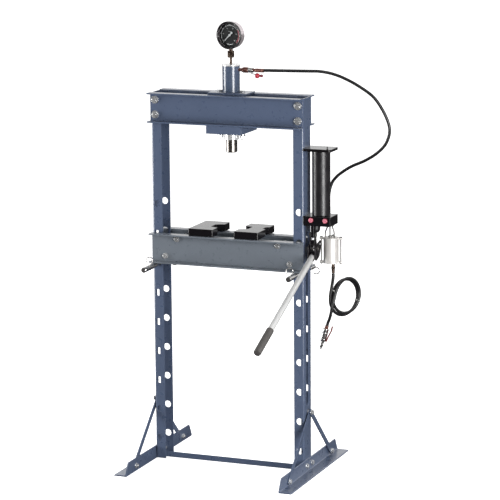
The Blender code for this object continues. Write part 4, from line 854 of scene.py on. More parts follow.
# ----------------------------------------------------------------------- bed
def build_bed():
    holes = [(side * x, z, BED_BOLT_RADIUS) for side in (-1, 1) for x, z in BED_BOLTS]
    for name, front in (("bed_channel_front", -1), ("bed_channel_back", 1)):
        build_channel(name, front, BED_INNER_Y, BED_BOTTOM, BED_TOP - BED_BOTTOM, "grey_paint", "bed", holes)
    outer = BED_INNER_Y + STEEL
    for side, side_name in ((-1, "left"), (1, "right")):
        for (x, z), level in zip(BED_BOLTS, ("upper", "lower")):
            node = "bed_spacer_" + side_name + "_" + level
            bm = bmesh.new()
            for front in (-1, 1):
                hex_end(bm, (side * x, front * outer, z), (0.0, front, 0.0), 0.0053, height=0.0060,
                        washer=0.0010)
            cylinder(bm, (side * x, -outer, z), (side * x, outer, z), BED_BOLT_RADIUS)
            cylinder(bm, (side * x, -BED_INNER_Y + GAP, z), (side * x, BED_INNER_Y - GAP, z), 0.008)
            show(node + "_fine", bm, "zinc", "bed", [node], bevel=0.0004)
    for name, body in (("bed_pin_left", "pin_left"), ("bed_pin_right", "pin_right")):
        build_pin(name, body)
    for name, side, body in (("pin_clip_left", -1, "clip_left"), ("pin_clip_right", 1, "clip_right")):
        build_clip(name, side, body)
    build_rear_clip("bed_pin_left", "pin_left")
    build_rear_clip("bed_pin_right", "pin_right")


def build_pin(node, body):
    low, high = box(node)
    centre = (low + high) / 2
    radius = (high.z - low.z) / 2
    length = high.y - low.y
    bm = bmesh.new()
    place = along((centre.x, low.y, centre.z), (0.0, 1.0, 0.0))
    lathe(bm, place, ((0.0, 0.0), (radius - 0.0018, 0.0), (radius, 0.0018), (radius, length - 0.0018),
                      (radius - 0.0018, length), (0.0, length)), 48)
    cutter = bmesh.new()
    clip = box("pin_clip_left" if centre.x < 0 else "pin_clip_right")
    hole_y = clip[1].y - CLIP_STEM_BACK
    for y in (hole_y, high.y - REAR_CLIP_INSET):
        cylinder(cutter, (centre.x, y, centre.z - 0.02), (centre.x, y, centre.z + 0.02),
                 CLIP_HOLE_RADIUS, 24)
    show(node + "_fine", bm, "steel", body, [node], bevel=0.0004, cutter=cutter)


def build_clip(node, side, body):
    """Spring wire: a stem down through the pin and a loop standing above it."""
    high = box(node)[1]
    ring = 0.0125
    pin = box("bed_pin_left" if side < 0 else "bed_pin_right")
    axis_z = (pin[0].z + pin[1].z) / 2
    x, y = side * HOLE_X, high.y - CLIP_STEM_BACK
    top = pin[1].z + 0.004
    points = [Vector((x, y, axis_z - 0.014)), Vector((x, y, axis_z)), Vector((x, y, top - 0.002))]
    centre = Vector((x, y - 0.004, top + ring))
    for step in range(1, 37):
        angle = math.radians(-90 + step * 312 / 36)
        points.append(centre + Vector((ring * math.cos(angle), -0.006 * step / 36, ring * math.sin(angle))))
    bm = bmesh.new()
    add_tube(bm, points, CLIP_WIRE)
    show(node + "_fine", bm, "steel", body, [node], sharp=60.0)


def build_rear_clip(node, body):
    """The same spring wire through the pin's back end, its loop hanging to the right."""
    low, high = box(node)
    ring = 0.0122
    stem = Vector(((low.x + high.x) / 2, high.y - REAR_CLIP_INSET, (low.z + high.z) / 2))
    points = [stem + Vector((0.0, 0.0, 0.0140)), stem, stem + Vector((0.0, 0.0, -0.0115))]
    centre = stem + Vector((ring + 0.0015, 0.0, -0.0150))
    for step in range(1, 35):
        angle = math.radians(178 + step * 9.2)
        points.append(centre + Vector((ring * math.cos(angle), 0.006 * step / 34, ring * math.sin(angle))))
    bm = bmesh.new()
    add_tube(bm, points, CLIP_WIRE)
    name = "rear_clip_" + node.rsplit("_", 1)[1]
    show(name, bm, "steel", body, sharp=60.0)


def build_press_plates():
    """The two blocks keep their CAD shape, with eased edges and a worked steel surface."""
    for node in ("press_plate_left", "press_plate_right"):
        dress(node, "black_steel", bevel=0.0011)


def dress(node, look, bevel=0.0):
    """Give a CAD node that stays its fine material, and eased edges where asked."""
    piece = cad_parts[node]
    material = LOOKS[look][1]
    for held in piece.material_slots:
        held.material = material
    if not piece.material_slots:
        piece.data.materials.append(material)
    if bevel:
        weld = piece.modifiers.new("Weld", "WELD")
        weld.merge_threshold = 0.00002
        flat = piece.modifiers.new("Flat", "DECIMATE")
        flat.decimate_type = "DISSOLVE"
        flat.angle_limit = math.radians(1.0)
        edge = piece.modifiers.new("Edges", "BEVEL")
        edge.width = bevel
        edge.segments = 2
        edge.limit_method = "ANGLE"
        edge.angle_limit = math.radians(38.0)
        weigh = piece.modifiers.new("Flat faces", "WEIGHTED_NORMAL")
        weigh.keep_sharp = False


# ------------------------------------------------------------------ cylinder
def build_cylinder():
    upright = Matrix.Translation((RAM_X, 0.0, 0.0))
    bottom = HEAD_LOW.z + GAP
    bm = bmesh.new()
    lathe(bm, upright, (
        (0.0, BARREL_TOP), (BARREL_RADIUS - 0.001, BARREL_TOP), (BARREL_RADIUS + 0.001, BARREL_TOP - 0.002),
        (BARREL_RADIUS + 0.001, BARREL_TOP - 0.006), (BARREL_RADIUS, BARREL_TOP - 0.007),
        (BARREL_RADIUS, bottom), (BARREL_BORE, bottom), (BARREL_BORE, BARREL_TOP - 0.012),
        (0.0, BARREL_TOP - 0.012)), 72)
    cutter = bmesh.new()
    cylinder(cutter, (RAM_X + 0.020, 0.0, COUPLER_Z), (RAM_X + 0.040, 0.0, COUPLER_Z), 0.0066)
    cylinder(cutter, (RAM_X, 0.0, BARREL_TOP - 0.016), (RAM_X, 0.0, BARREL_TOP + 0.01), 0.0052)
    show("cylinder_barrel_fine", bm, "blue_gloss", "frame",
         ["cylinder_barrel"], bevel=0.0004, cutter=cutter)
    bm = bmesh.new()
    rim = BARREL_RADIUS + 0.0016
    inside = BARREL_RADIUS - 0.0020
    lathe(bm, upright, (
        (0.0058, BARREL_TOP + 0.0004), (rim - 0.0006, BARREL_TOP + 0.0004), (rim, BARREL_TOP - 0.0004),
        (rim, BARREL_TOP - 0.0050), (rim - 0.0006, BARREL_TOP - 0.0058), (inside, BARREL_TOP - 0.0058),
        (inside, BARREL_TOP - 0.0010), (0.0058, BARREL_TOP - 0.0010)), 72, closed=True)
    show("cylinder_cap_ring", bm, "white_metal", "frame", sharp=40.0)
    bm = bmesh.new()
    low, high = HEAD_LOW.z, 1.285
    lathe(bm, upright, (
        (BARREL_BORE - GAP, high), (BARREL_BORE - GAP, low), (0.0265, low - GAP), (0.0265, low - 0.012),
        (0.0258, low - 0.0125), (0.0258, low - 0.0155), (0.0265, low - 0.016), (0.0265, 1.2315),
        (0.0250, 1.230), (ROD_RADIUS + 0.0022, 1.230), (ROD_RADIUS + 0.0006, 1.2315),
        (ROD_RADIUS + 0.0004, high)), 64, closed=True)
    show("cylinder_gland_fine", bm, "white_metal", "frame",
         ["cylinder_gland"], bevel=0.0003)
    bm = bmesh.new()
    lathe(bm, upright, (
        (0.0, ROD_BOTTOM + 0.030), (0.013, ROD_BOTTOM + 0.030), (0.013, PISTON_TOP),
        (BARREL_BORE - 0.0004, PISTON_TOP), (BARREL_BORE - 0.0004, PISTON_TOP - 0.028),
        (ROD_RADIUS, PISTON_TOP - 0.028), (ROD_RADIUS, ROD_BOTTOM + 0.003),
        (ROD_RADIUS - 0.003, ROD_BOTTOM), (0.0, ROD_BOTTOM)), 64)
    show("ram_piston_rod_fine", bm, "chrome", "ram",
         ["ram_piston_rod"], bevel=0.0005)
    dress("ram_return_spring", "steel")
    for node in ("cylinder_head_plate", "cylinder_top_plate"):
        low, high = box(node)
        bm = bmesh.new()
        block(bm, low, high)
        cutter = bmesh.new()
        cylinder(cutter, (RAM_X, 0.0, low.z - 0.01), (RAM_X, 0.0, high.z + 0.01), BARREL_RADIUS + 0.0005, 64)
        for side in (-1, 1):
            x = RAM_X + side * TIE_BOLT_X
            cylinder(cutter, (x, 0.0, low.z - 0.01), (x, 0.0, high.z + 0.01), 0.0066)
        show(node + "_fine", bm, "blue_paint", "frame", [node], bevel=0.0010, cutter=cutter)
    for side, node in ((-1, "cylinder_tie_bolt_left"), (1, "cylinder_tie_bolt_right")):
        low, high = box(node)
        x = RAM_X + side * TIE_BOLT_X
        bm = bmesh.new()
        hex_end(bm, (x, 0.0, CAP_HIGH.z), (0.0, 0.0, 1.0), 0.0057, height=high.z - CAP_HIGH.z - 0.0013,
                washer=0.001)
        cylinder(bm, (x, 0.0, HEAD_LOW.z - GAP), (x, 0.0, low.z + 0.0150), 0.0085)
        hex_end(bm, (x, 0.0, low.z + 0.0150), (0.0, 0.0, -1.0), 0.0057, height=0.0095, washer=0.0015,
                stub=0.0040)
        cylinder(bm, (x, 0.0, HEAD_LOW.z - 0.001), (x, 0.0, CAP_HIGH.z + 0.001), 0.0058)
        show(node + "_fine", bm, "zinc", "frame", [node], bevel=0.0004)


# --------------------------------------------------------------------- gauge
def dial_arc(bm, radius, width, start, end, height, steps=60):
    """Thin flat band on the dial between two clock angles, in degrees from +X."""
    angles = [math.radians(start + (end - start) * k / steps) for k in range(steps + 1)]
    rims = []
    for reach in (radius, radius + width):
        for level in (height, height + 0.00012):
            rims.append([bm.verts.new(Vector((reach * math.cos(a), reach * math.sin(a), level)))
                         for a in angles])
    inner_low, inner_high, outer_low, outer_high = rims
    for first, second in ((inner_low, inner_high), (inner_high, outer_high), (outer_high, outer_low),
                          (outer_low, inner_low)):
        for k in range(steps):
            bm.faces.new((first[k], first[k + 1], second[k + 1], second[k]))
    for k in (0, steps):
        bm.faces.new((inner_low[k], inner_high[k], outer_high[k], outer_low[k]))


def build_gauge():
    place = (Matrix.Translation((RAM_X, 0.0, GAUGE_Z)) @ Matrix.Rotation(GAUGE_YAW, 4, "Z")
             @ Matrix.Rotation(math.pi / 2, 4, "X"))
    r = GAUGE_RADIUS
    bm = bmesh.new()
    lathe(bm, Matrix.Identity(4), (
        (0.0, -0.019), (0.0445, -0.019), (0.0470, -0.0185), (r - 0.0025, -0.0165), (r - 0.0025, 0.0100),
        (r - 0.0060, 0.0100), (r - 0.0060, 0.0040), (0.0, 0.0040)), 96)
    show("gauge_case_fine", bm, "gauge_side", "frame", ["gauge_case"],
         bevel=0.0004, place=place)
    bm = bmesh.new()
    lathe(bm, Matrix.Identity(4), (
        (r - 0.0024, 0.0102), (r - 0.0002, 0.0102), (r, 0.0110), (r, 0.0172), (r - 0.0010, 0.0186),
        (r - 0.0024, 0.0190), (r - 0.0042, 0.0188), (r - 0.0055, 0.0172), (r - 0.0058, 0.0120),
        (r - 0.0058, 0.0102)), 96, closed=True)
    show("gauge_bezel", bm, "bezel_black", "frame", place=place, sharp=50.0)
    bm = bmesh.new()
    lathe(bm, Matrix.Identity(4), ((0.0, 0.0043), (0.0448, 0.0043), (0.0448, 0.0053), (0.0, 0.0053)), 96)
    show("gauge_dial_fine", bm, "dial_black", "frame", ["gauge_dial"], place=place, sharp=40.0)
    bm = bmesh.new()
    lathe(bm, Matrix.Identity(4), ((0.0, 0.0138), (0.0450, 0.0138), (0.0450, 0.0148), (0.0, 0.0148)), 96)
    show("gauge_glass", bm, "glass", "frame", place=place, sharp=40.0)
    face = 0.0054
    marks = bmesh.new()
    dial_arc(marks, 0.0345, 0.0012, 225.0, -45.0, face)
    dial_arc(marks, 0.0330, 0.0022, 248.0, 292.0, face)
    for step in range(51):
        angle = math.radians(225.0 - 270.0 * step / 50)
        reach, half = ((0.0395, 0.00070), (0.0372, 0.00030))[0 if step % 5 == 0 else 1]
        turn = Matrix.Rotation(angle, 4, "Z") @ Matrix.Translation((0.0, 0.0, face))
        prism(marks, [(0.0345, -half), (reach, -half), (reach, half), (0.0345, half)], 0.00012, turn)
    prism(marks, [(-0.006, 0.0118), (0.006, 0.0118), (0.006, 0.0128), (-0.006, 0.0128)], 0.00012,
          Matrix.Translation((0.0, 0.0, face)))
    for step in range(0, 11, 2):
        angle = math.radians(225.0 - 270.0 * step / 10)
        add_number(marks, str(step * 4), (0.0270 * math.cos(angle), 0.0270 * math.sin(angle), face))
    show("gauge_scale", marks, "dial_white", "frame", place=place, sharp=40.0)
    band = bmesh.new()
    dial_arc(band, 0.0350, 0.0046, 35.0, -45.0, face + 0.00014)
    show("gauge_red_band", band, "dial_red", "frame", place=place, sharp=40.0)
    tip = Matrix.Rotation(math.radians(225.0), 4, "Z")
    bm = bmesh.new()
    outline = [(0.0345, 0.0004), (0.0040, 0.0020), (-0.0080, 0.0018), (-0.0100, 0.0038), (-0.0145, 0.0038),
               (-0.0165, 0.0), (-0.0145, -0.0038), (-0.0100, -0.0038), (-0.0080, -0.0018), (0.0040, -0.0020),
               (0.0345, -0.0004)]
    prism(bm, outline, 0.0009, tip @ Matrix.Translation((0.0, 0.0, 0.0086)))
    lathe(bm, Matrix.Identity(4), ((0.0, 0.0084), (0.0042, 0.0084), (0.0042, 0.0100), (0.0030, 0.0108),
                                   (0.0, 0.0110)), 40)
    show("gauge_needle_fine", bm, "dial_white", "needle",
         ["gauge_needle"], place=place, sharp=40.0)
    base = box("gauge_adapter")[0].z
    bm = bmesh.new()
    upright = Matrix.Translation((RAM_X, 0.0, 0.0))
    lathe(bm, upright, [(0.0, base)] + thread(0.0047, base, 1.5300) + [(0.0045, 1.5315), (0.0, 1.5315)], 32)
    prism(bm, hexagon(0.0108, 0.35), 0.0240, upright @ Matrix.Translation((0.0, 0.0, 1.5313)))
    lathe(bm, upright, ((0.0, 1.5545), (0.0098, 1.5545), (0.0098, 1.5560), (0.0070, 1.5566),
                        (0.0070, 1.5640), (0.0, 1.5640)), 32)
    show("gauge_adapter_fine", bm, "dark_brass", "frame",
         ["gauge_adapter"], bevel=0.0007)


def add_number(bm, text, centre):
    """A plain dial number, centred on a point of the dial."""
    letters = bpy.data.curves.new("number", "FONT")
    letters.body = text
    letters.size = 0.0060
    letters.extrude = 0.00006
    letters.align_x = "CENTER"
    letters.align_y = "CENTER"
    guide = bpy.data.objects.new("number", letters)
    bpy.context.scene.collection.objects.link(guide)
    bpy.context.view_layer.update()
    mesh = bpy.data.meshes.new_from_object(guide.evaluated_get(bpy.context.evaluated_depsgraph_get()))
    bpy.data.objects.remove(guide, do_unlink=True)
    mesh.transform(Matrix.Translation(Vector(centre) + Vector((0.0, 0.0, 0.00006))))
    bm.from_mesh(mesh)


# ------------------------------------------------------------------- coupler
def build_coupler():
    place = Matrix.Translation((0.0, 0.0, COUPLER_Z)) @ Matrix.Rotation(math.pi / 2, 4, "Y")
    bm = bmesh.new()
    lathe(bm, place, (
        (0.0, 0.0940), (0.0062, 0.0940), (0.0062, 0.0722), (0.0098, 0.0721), (0.0103, 0.0714),
        (0.0105, 0.0660), (0.0105, 0.0580), (0.0102, 0.0545), (0.0094, 0.0520), (0.0085, 0.0505),
        (0.0070, 0.0480), (0.0062, 0.0470), (0.0060, 0.0315), (0.0, 0.0315)), 48)
    show("coupler_body_fine", bm, "copper", "frame", ["coupler_body"], bevel=0.0004)
    grooves = []
    for k in range(6):
        x = 0.0892 - 0.0024 * k
        grooves += [(0.0094, x), (0.0094, x - 0.0012), (0.0088, x - 0.0014), (0.0088, x - 0.0022)]
    bm = bmesh.new()
    lathe(bm, place, [(0.0066, 0.0920), (0.0086, 0.0920), (0.0094, 0.0908)] + grooves
          + [(0.0094, 0.0746), (0.0088, 0.0725), (0.0066, 0.0725)], 48, closed=True)
    show("coupler_sleeve_fine", bm, "steel", "coupler_lock",
         ["coupler_sleeve"], sharp=40.0)
    crimps = []
    for k in range(5):
        x = 0.1290 - 0.0052 * k
        crimps += [(0.0070, x), (0.0070, x - 0.0030), (0.0065, x - 0.0036), (0.0065, x - 0.0046)]
    bm = bmesh.new()
    lathe(bm, place, [(0.0, 0.1342), (0.0062, 0.1342), (0.0070, 0.1325)] + crimps
          + [(0.0070, 0.1022), (0.0064, 0.1004), (0.0056, 0.0990), (0.0056, 0.0943), (0.0, 0.0943)], 48)
    show("hose_end_collar_fine", bm, "copper", "frame",
         ["hose_end_collar"], sharp=45.0)
    cap = Matrix.Translation((0.1075, 0.0, 1.4680)) @ Matrix.Rotation(math.pi / 2, 4, "Y")
    ball = [(0.0095 * math.sin(a), -0.0095 * math.cos(a))
            for a in (math.pi * step / 24 for step in range(24, 5, -1))]
    ball = [(r, z) for r, z in ball if z < 0.0087 and r > 0.0001]
    bm = bmesh.new()
    lathe(bm, cap, [(0.0, 0.0080)] + ball + [(0.0, -0.0095)], 40)
    show("dust_cap_fine", bm, "red", "frame", ["dust_cap"], sharp=60.0)
    bm = bmesh.new()
    lathe(bm, cap, ((0.0, 0.0220), (0.0030, 0.0218), (0.0046, 0.0205), (0.0053, 0.0185), (0.0054, 0.0165),
                    (0.0050, 0.0140), (0.0040, 0.0115), (0.0034, 0.0095), (0.0034, 0.0070),
                    (0.0, 0.0070)), 40)
    show("dust_cap_knob", bm, "dark_red", "frame", sharp=60.0)
    strap = [(0.1050, 0.0, 1.4705), (0.0960, 0.0, 1.4730), (0.0880, 0.0, 1.4752), (0.0820, 0.0, 1.4757)]
    bm = bmesh.new()
    add_tube(bm, smooth_points(strap, 0.002), 0.0013, 3)
    show("dust_cap_strap", bm, "rubber", "frame", sharp=60.0)


# ---------------------------------------------------------------------- pump
def build_pump():
    bm = bmesh.new()
    block(bm, BLOCK_LOW, BLOCK_HIGH)
    block(bm, (LEVER_X - 0.006, PIVOT.y - 0.008, LINK_TOP_Z - 0.010),
          (LEVER_X + 0.006, PIVOT.y + 0.008, BLOCK_LOW.z + 0.001))
    show("pump_block_fine", bm, "black_steel", "frame", ["pump_block"], bevel=0.0012)
    gland = Matrix.Translation((LEVER_X, PLUNGER_Y, 0.0))
    bm = bmesh.new()
    lathe(bm, gland, (
        (0.0056, 0.9055), (0.0085, 0.9050), (0.0104, 0.9058), (0.0130, 0.9085), (0.0155, 0.9120),
        (0.0168, 0.9160), (0.0170, 0.9200), (0.0170, 0.9260), (0.0162, 0.9266), (0.0162, 0.9280),
        (0.0170, 0.9286), (0.0170, BLOCK_LOW.z + 0.0005), (0.0056, BLOCK_LOW.z + 0.0005)), 48, closed=True)
    show("pump_gland", bm, "black_gloss", "frame", sharp=50.0)
    low, high = box("pump_top_plate")
    cut = 0.006
    corners = [(low.x, low.y), (high.x - cut, low.y), (high.x, low.y + cut), (high.x, high.y - cut),
               (high.x - cut, high.y), (low.x, high.y)]
    bm = bmesh.new()
    prism(bm, corners, high.z - low.z, Matrix.Translation((0.0, 0.0, low.z)))
    show("pump_top_plate_fine", bm, "black_steel", "frame",
         ["pump_top_plate"], bevel=0.0012)
    stud = bmesh.new()
    cylinder(stud, STUD_FOOT, STUD_FOOT + Vector((0.0, 0.0, 0.0095)), 0.0022, 24)
    cylinder(stud, STUD_FOOT, STUD_FOOT + Vector((0.0, 0.0, 0.0022)), 0.0036, 24)
    show("pump_top_stud", stud, "black_steel", "frame", bevel=0.0004)
    floor, top = BLOCK_HIGH.z + GAP, RESERVOIR_TOP - GAP
    outer, inner = RESERVOIR_RADIUS, RESERVOIR_RADIUS - 0.003
    bm = bmesh.new()
    lathe(bm, Matrix.Translation((PUMP_X, 0.0, 0.0)), (
        (inner, top), (outer - 0.0008, top), (outer, top - 0.0008), (outer, floor + 0.0008),
        (outer - 0.0008, floor), (inner, floor)), 96, closed=True)
    show("pump_reservoir_fine", bm, "black_gloss", "frame", ["pump_reservoir"], sharp=40.0)
    build_knob("release_valve_knob", "release_valve")
    build_knob("oil_filler_plug", "frame")
    bolts = bmesh.new()
    for y, z in PUMP_BOLTS:
        hex_end(bolts, (POST_OUTER_X - STEEL, y, z), (-1.0, 0.0, 0.0), PUMP_BOLT_RADIUS, washer=0.001)
        cylinder(bolts, (POST_OUTER_X - STEEL - 0.001, y, z), (POST_OUTER_X + 0.010, y, z), PUMP_BOLT_RADIUS)
    show("pump_screws", bolts, "dark_bolt", "frame", bevel=0.0003)


def build_knob(node, body):
    """Scalloped red rim with a paler pressed face."""
    low, high = box(node)
    centre = (low + high) / 2
    place = along((centre.x, high.y, centre.z), (0.0, -1.0, 0.0))
    depth = high.y - low.y
    reach = (high.x - low.x) / 2
    outline = []
    for k in range(96):
        angle = math.tau * k / 96
        radius = reach - 0.0005 + 0.0005 * math.cos(12 * angle)
        outline.append((radius * math.cos(angle), radius * math.sin(angle)))
    bm = bmesh.new()
    prism(bm, outline, depth * 0.72, place)
    show(node + "_fine", bm, "dark_red", body, [node], bevel=0.0006)
    bm = bmesh.new()
    lathe(bm, place, ((0.0, depth * 0.70), (reach - 0.0016, depth * 0.70), (reach - 0.0018, depth * 0.85),
                      (reach - 0.0032, depth), (0.0032, depth), (0.0026, depth - 0.0010),
                      (0.0, depth - 0.0012)), 48)
    show(node + "_face", bm, "pink_face", body, sharp=45.0)


def build_lever():
    bm = bmesh.new()
    half = 0.0222
    axis = Vector((1.0, 0.0, 0.0))
    for side in (-1, 1):
        hex_end(bm, PIVOT + axis * side * (half - 0.0056), axis * side, 0.0038, height=0.0044, washer=0.0009)
    cylinder(bm, PIVOT - axis * (half - 0.005), PIVOT + axis * (half - 0.005), 0.0037)
    show("lever_pivot_bolt_fine", bm, "dark_bolt", "frame",
         ["lever_pivot_bolt"], bevel=0.0003)
    build_link()
    low, high = box("pump_plunger")
    bm = bmesh.new()
    lathe(bm, Matrix.Translation((LEVER_X, PLUNGER_Y, 0.0)), (
        (0.0, low.z), (0.0038, low.z), (0.0045, low.z + 0.0007), (0.0045, high.z), (0.0, high.z)), 40)
    cylinder(bm, (low.x, PLUNGER_Y, PLUNGER_PIN_Z), (high.x, PLUNGER_Y, PLUNGER_PIN_Z), 0.0034)
    show("pump_plunger_fine", bm, "white_metal", "pump_piston", ["pump_plunger"], sharp=40.0)
    build_socket()
    build_handle()


def build_link():
    half = 0.008
    ends = [(PIVOT.y - half, PIVOT.z - half), (PIVOT.y + half, PIVOT.z - half),
            (PIVOT.y + half, LINK_TOP_Z + half), (PIVOT.y - half, LINK_TOP_Z + half)]
    outline = rounded_outline([(y, z, half * 0.98) for y, z in ends], 10)
    bm = bmesh.new()
    for start in (LEVER_X - 0.0105, LEVER_X + 0.0065):
        prism(bm, outline, 0.004, Matrix.Translation((start, 0.0, 0.0)) @ TO_X)
    cutter = bmesh.new()
    for z in (LINK_TOP_Z, PIVOT.z):
        cylinder(cutter, (LEVER_X - 0.02, PIVOT.y, z), (LEVER_X + 0.02, PIVOT.y, z), 0.0044, 32)
    show("lever_link_fine", bm, "black_steel", "frame", ["lever_link"],
         bevel=0.0005, cutter=cutter)
    bm = bmesh.new()
    block(bm, (LEVER_X - 0.0066, PIVOT.y - 0.0055, 0.865), (LEVER_X + 0.0066, PIVOT.y + 0.0055, 0.882))
    show("lever_link_bridge", bm, "black_steel", "frame", bevel=0.0006)
    bm = bmesh.new()
    for side in (-1, 1):
        hex_end(bm, (LEVER_X + side * 0.0105, PIVOT.y, LINK_TOP_Z), (side, 0.0, 0.0), 0.0036, height=0.0032,
                washer=0.0008)
    cylinder(bm, (LEVER_X - 0.0105, PIVOT.y, LINK_TOP_Z), (LEVER_X + 0.0105, PIVOT.y, LINK_TOP_Z), 0.0036)
    show("lever_link_bolt", bm, "dark_bolt", "frame", bevel=0.0003)


def build_socket():
    corners = [(y, z, 0.004) for y, z in (
        (-0.049, 0.857), (-0.042, 0.864), (0.004, 0.8755), (0.010, 0.868),
        (0.008, 0.852), (-0.010, 0.817), (-0.040, 0.8065), (-0.052, 0.812))]
    bm = bmesh.new()
    for start in (LEVER_X - 0.0165, LEVER_X + 0.0115):
        prism(bm, rounded_outline(corners, 6), 0.005, Matrix.Translation((start, 0.0, 0.0)) @ TO_X)
    cutter = bmesh.new()
    for y, z, radius in ((PIVOT.y, PIVOT.z, 0.0044), (PIVOT.y + 0.0283, PLUNGER_PIN_Z - 0.0004, 0.0062)):
        cylinder(cutter, (LEVER_X - 0.03, y, z), (LEVER_X + 0.03, y, z), radius)
    show("lever_cheeks", bm, "black_steel", "handle", ["lever_socket"], bevel=0.0007, cutter=cutter)
    bm = bmesh.new()
    place = along(HANDLE_TOP, HANDLE_AXIS)
    lathe(bm, place, ((0.0, -0.026), (0.0125, -0.026), (0.0135, -0.025), (0.0135, -0.0016), (0.0125, -GAP),
                      (0.0085, -GAP), (0.0085, 0.050), (0.0, 0.050)), 48)
    show("lever_boss", bm, "black_steel", "handle", sharp=45.0)


def build_handle():
    place = along(HANDLE_TOP, HANDLE_AXIS)
    end = GRIP_END - 0.010
    outer, inner = HANDLE_RADIUS, HANDLE_RADIUS - 0.0020
    bm = bmesh.new()
    lathe(bm, place, ((outer, end), (outer, 0.0006), (outer - 0.0006, 0.0), (inner, 0.0), (inner, end)), 64,
          closed=True)
    show("handle_tube_fine", bm, "silver_tube", "handle", ["handle_tube"], sharp=40.0)
    ribs = []
    start, finish_at, count = GRIP_START + 0.006, GRIP_END - 0.010, 16
    for k in range(count):
        at = start + (finish_at - start) * k / count
        pitch = (finish_at - start) / count
        ribs += [(GRIP_RADIUS, at), (GRIP_RADIUS, at + pitch * 0.62),
                 (GRIP_RADIUS - 0.0005, at + pitch * 0.72), (GRIP_RADIUS - 0.0005, at + pitch * 0.92)]
    bm = bmesh.new()
    lathe(bm, place, [(0.0, end + 0.0005), (outer + GAP, end + 0.0005), (outer + GAP, GRIP_START),
                      (GRIP_RADIUS - 0.0012, GRIP_START), (GRIP_RADIUS, GRIP_START + 0.0014)] + ribs
          + [(GRIP_RADIUS, finish_at), (GRIP_RADIUS, GRIP_END - 0.004),
             (GRIP_RADIUS - 0.0012, GRIP_END - 0.0012), (GRIP_RADIUS - 0.004, GRIP_END), (0.0, GRIP_END)], 48)
    show("handle_grip_fine", bm, "grip_rubber", "handle", ["handle_grip"], sharp=35.0)
    side = HANDLE_TOP + HANDLE_AXIS * 0.020
    normal = Vector((1.0, 0.0, 0.0))
    bm = bmesh.new()
    for way in (-1, 1):
        hex_end(bm, side + normal * way * (HANDLE_RADIUS - 0.0004), normal * way, 0.0026, height=0.0024,
                washer=0.0)
    show("handle_screw", bm, "dark_bolt", "handle", bevel=0.0003)


# ----------------------------------------------------------------- air motor
def lug_positions():
    return [(MOTOR_X + LUG_REACH * math.cos(math.radians(a)), MOTOR_Y + LUG_REACH * math.sin(math.radians(a)))
            for a in LUG_ANGLES]


def cover_outline(radius):
    """Round cover whose rim runs out into a rounded lug at each tie rod."""
    points = []
    for k in range(240):
        angle = math.tau * k / 240
        reach = radius
        for lug in LUG_ANGLES:
            off = angle - math.radians(lug)
            inside = LUG_RADIUS ** 2 - (LUG_REACH * math.sin(off)) ** 2
            if math.cos(off) > 0.0 and inside > 0.0:
                reach = max(reach, LUG_REACH * math.cos(off) + math.sqrt(inside))
        points.append((MOTOR_X + reach * math.cos(angle), MOTOR_Y + reach * math.sin(angle)))
    return points


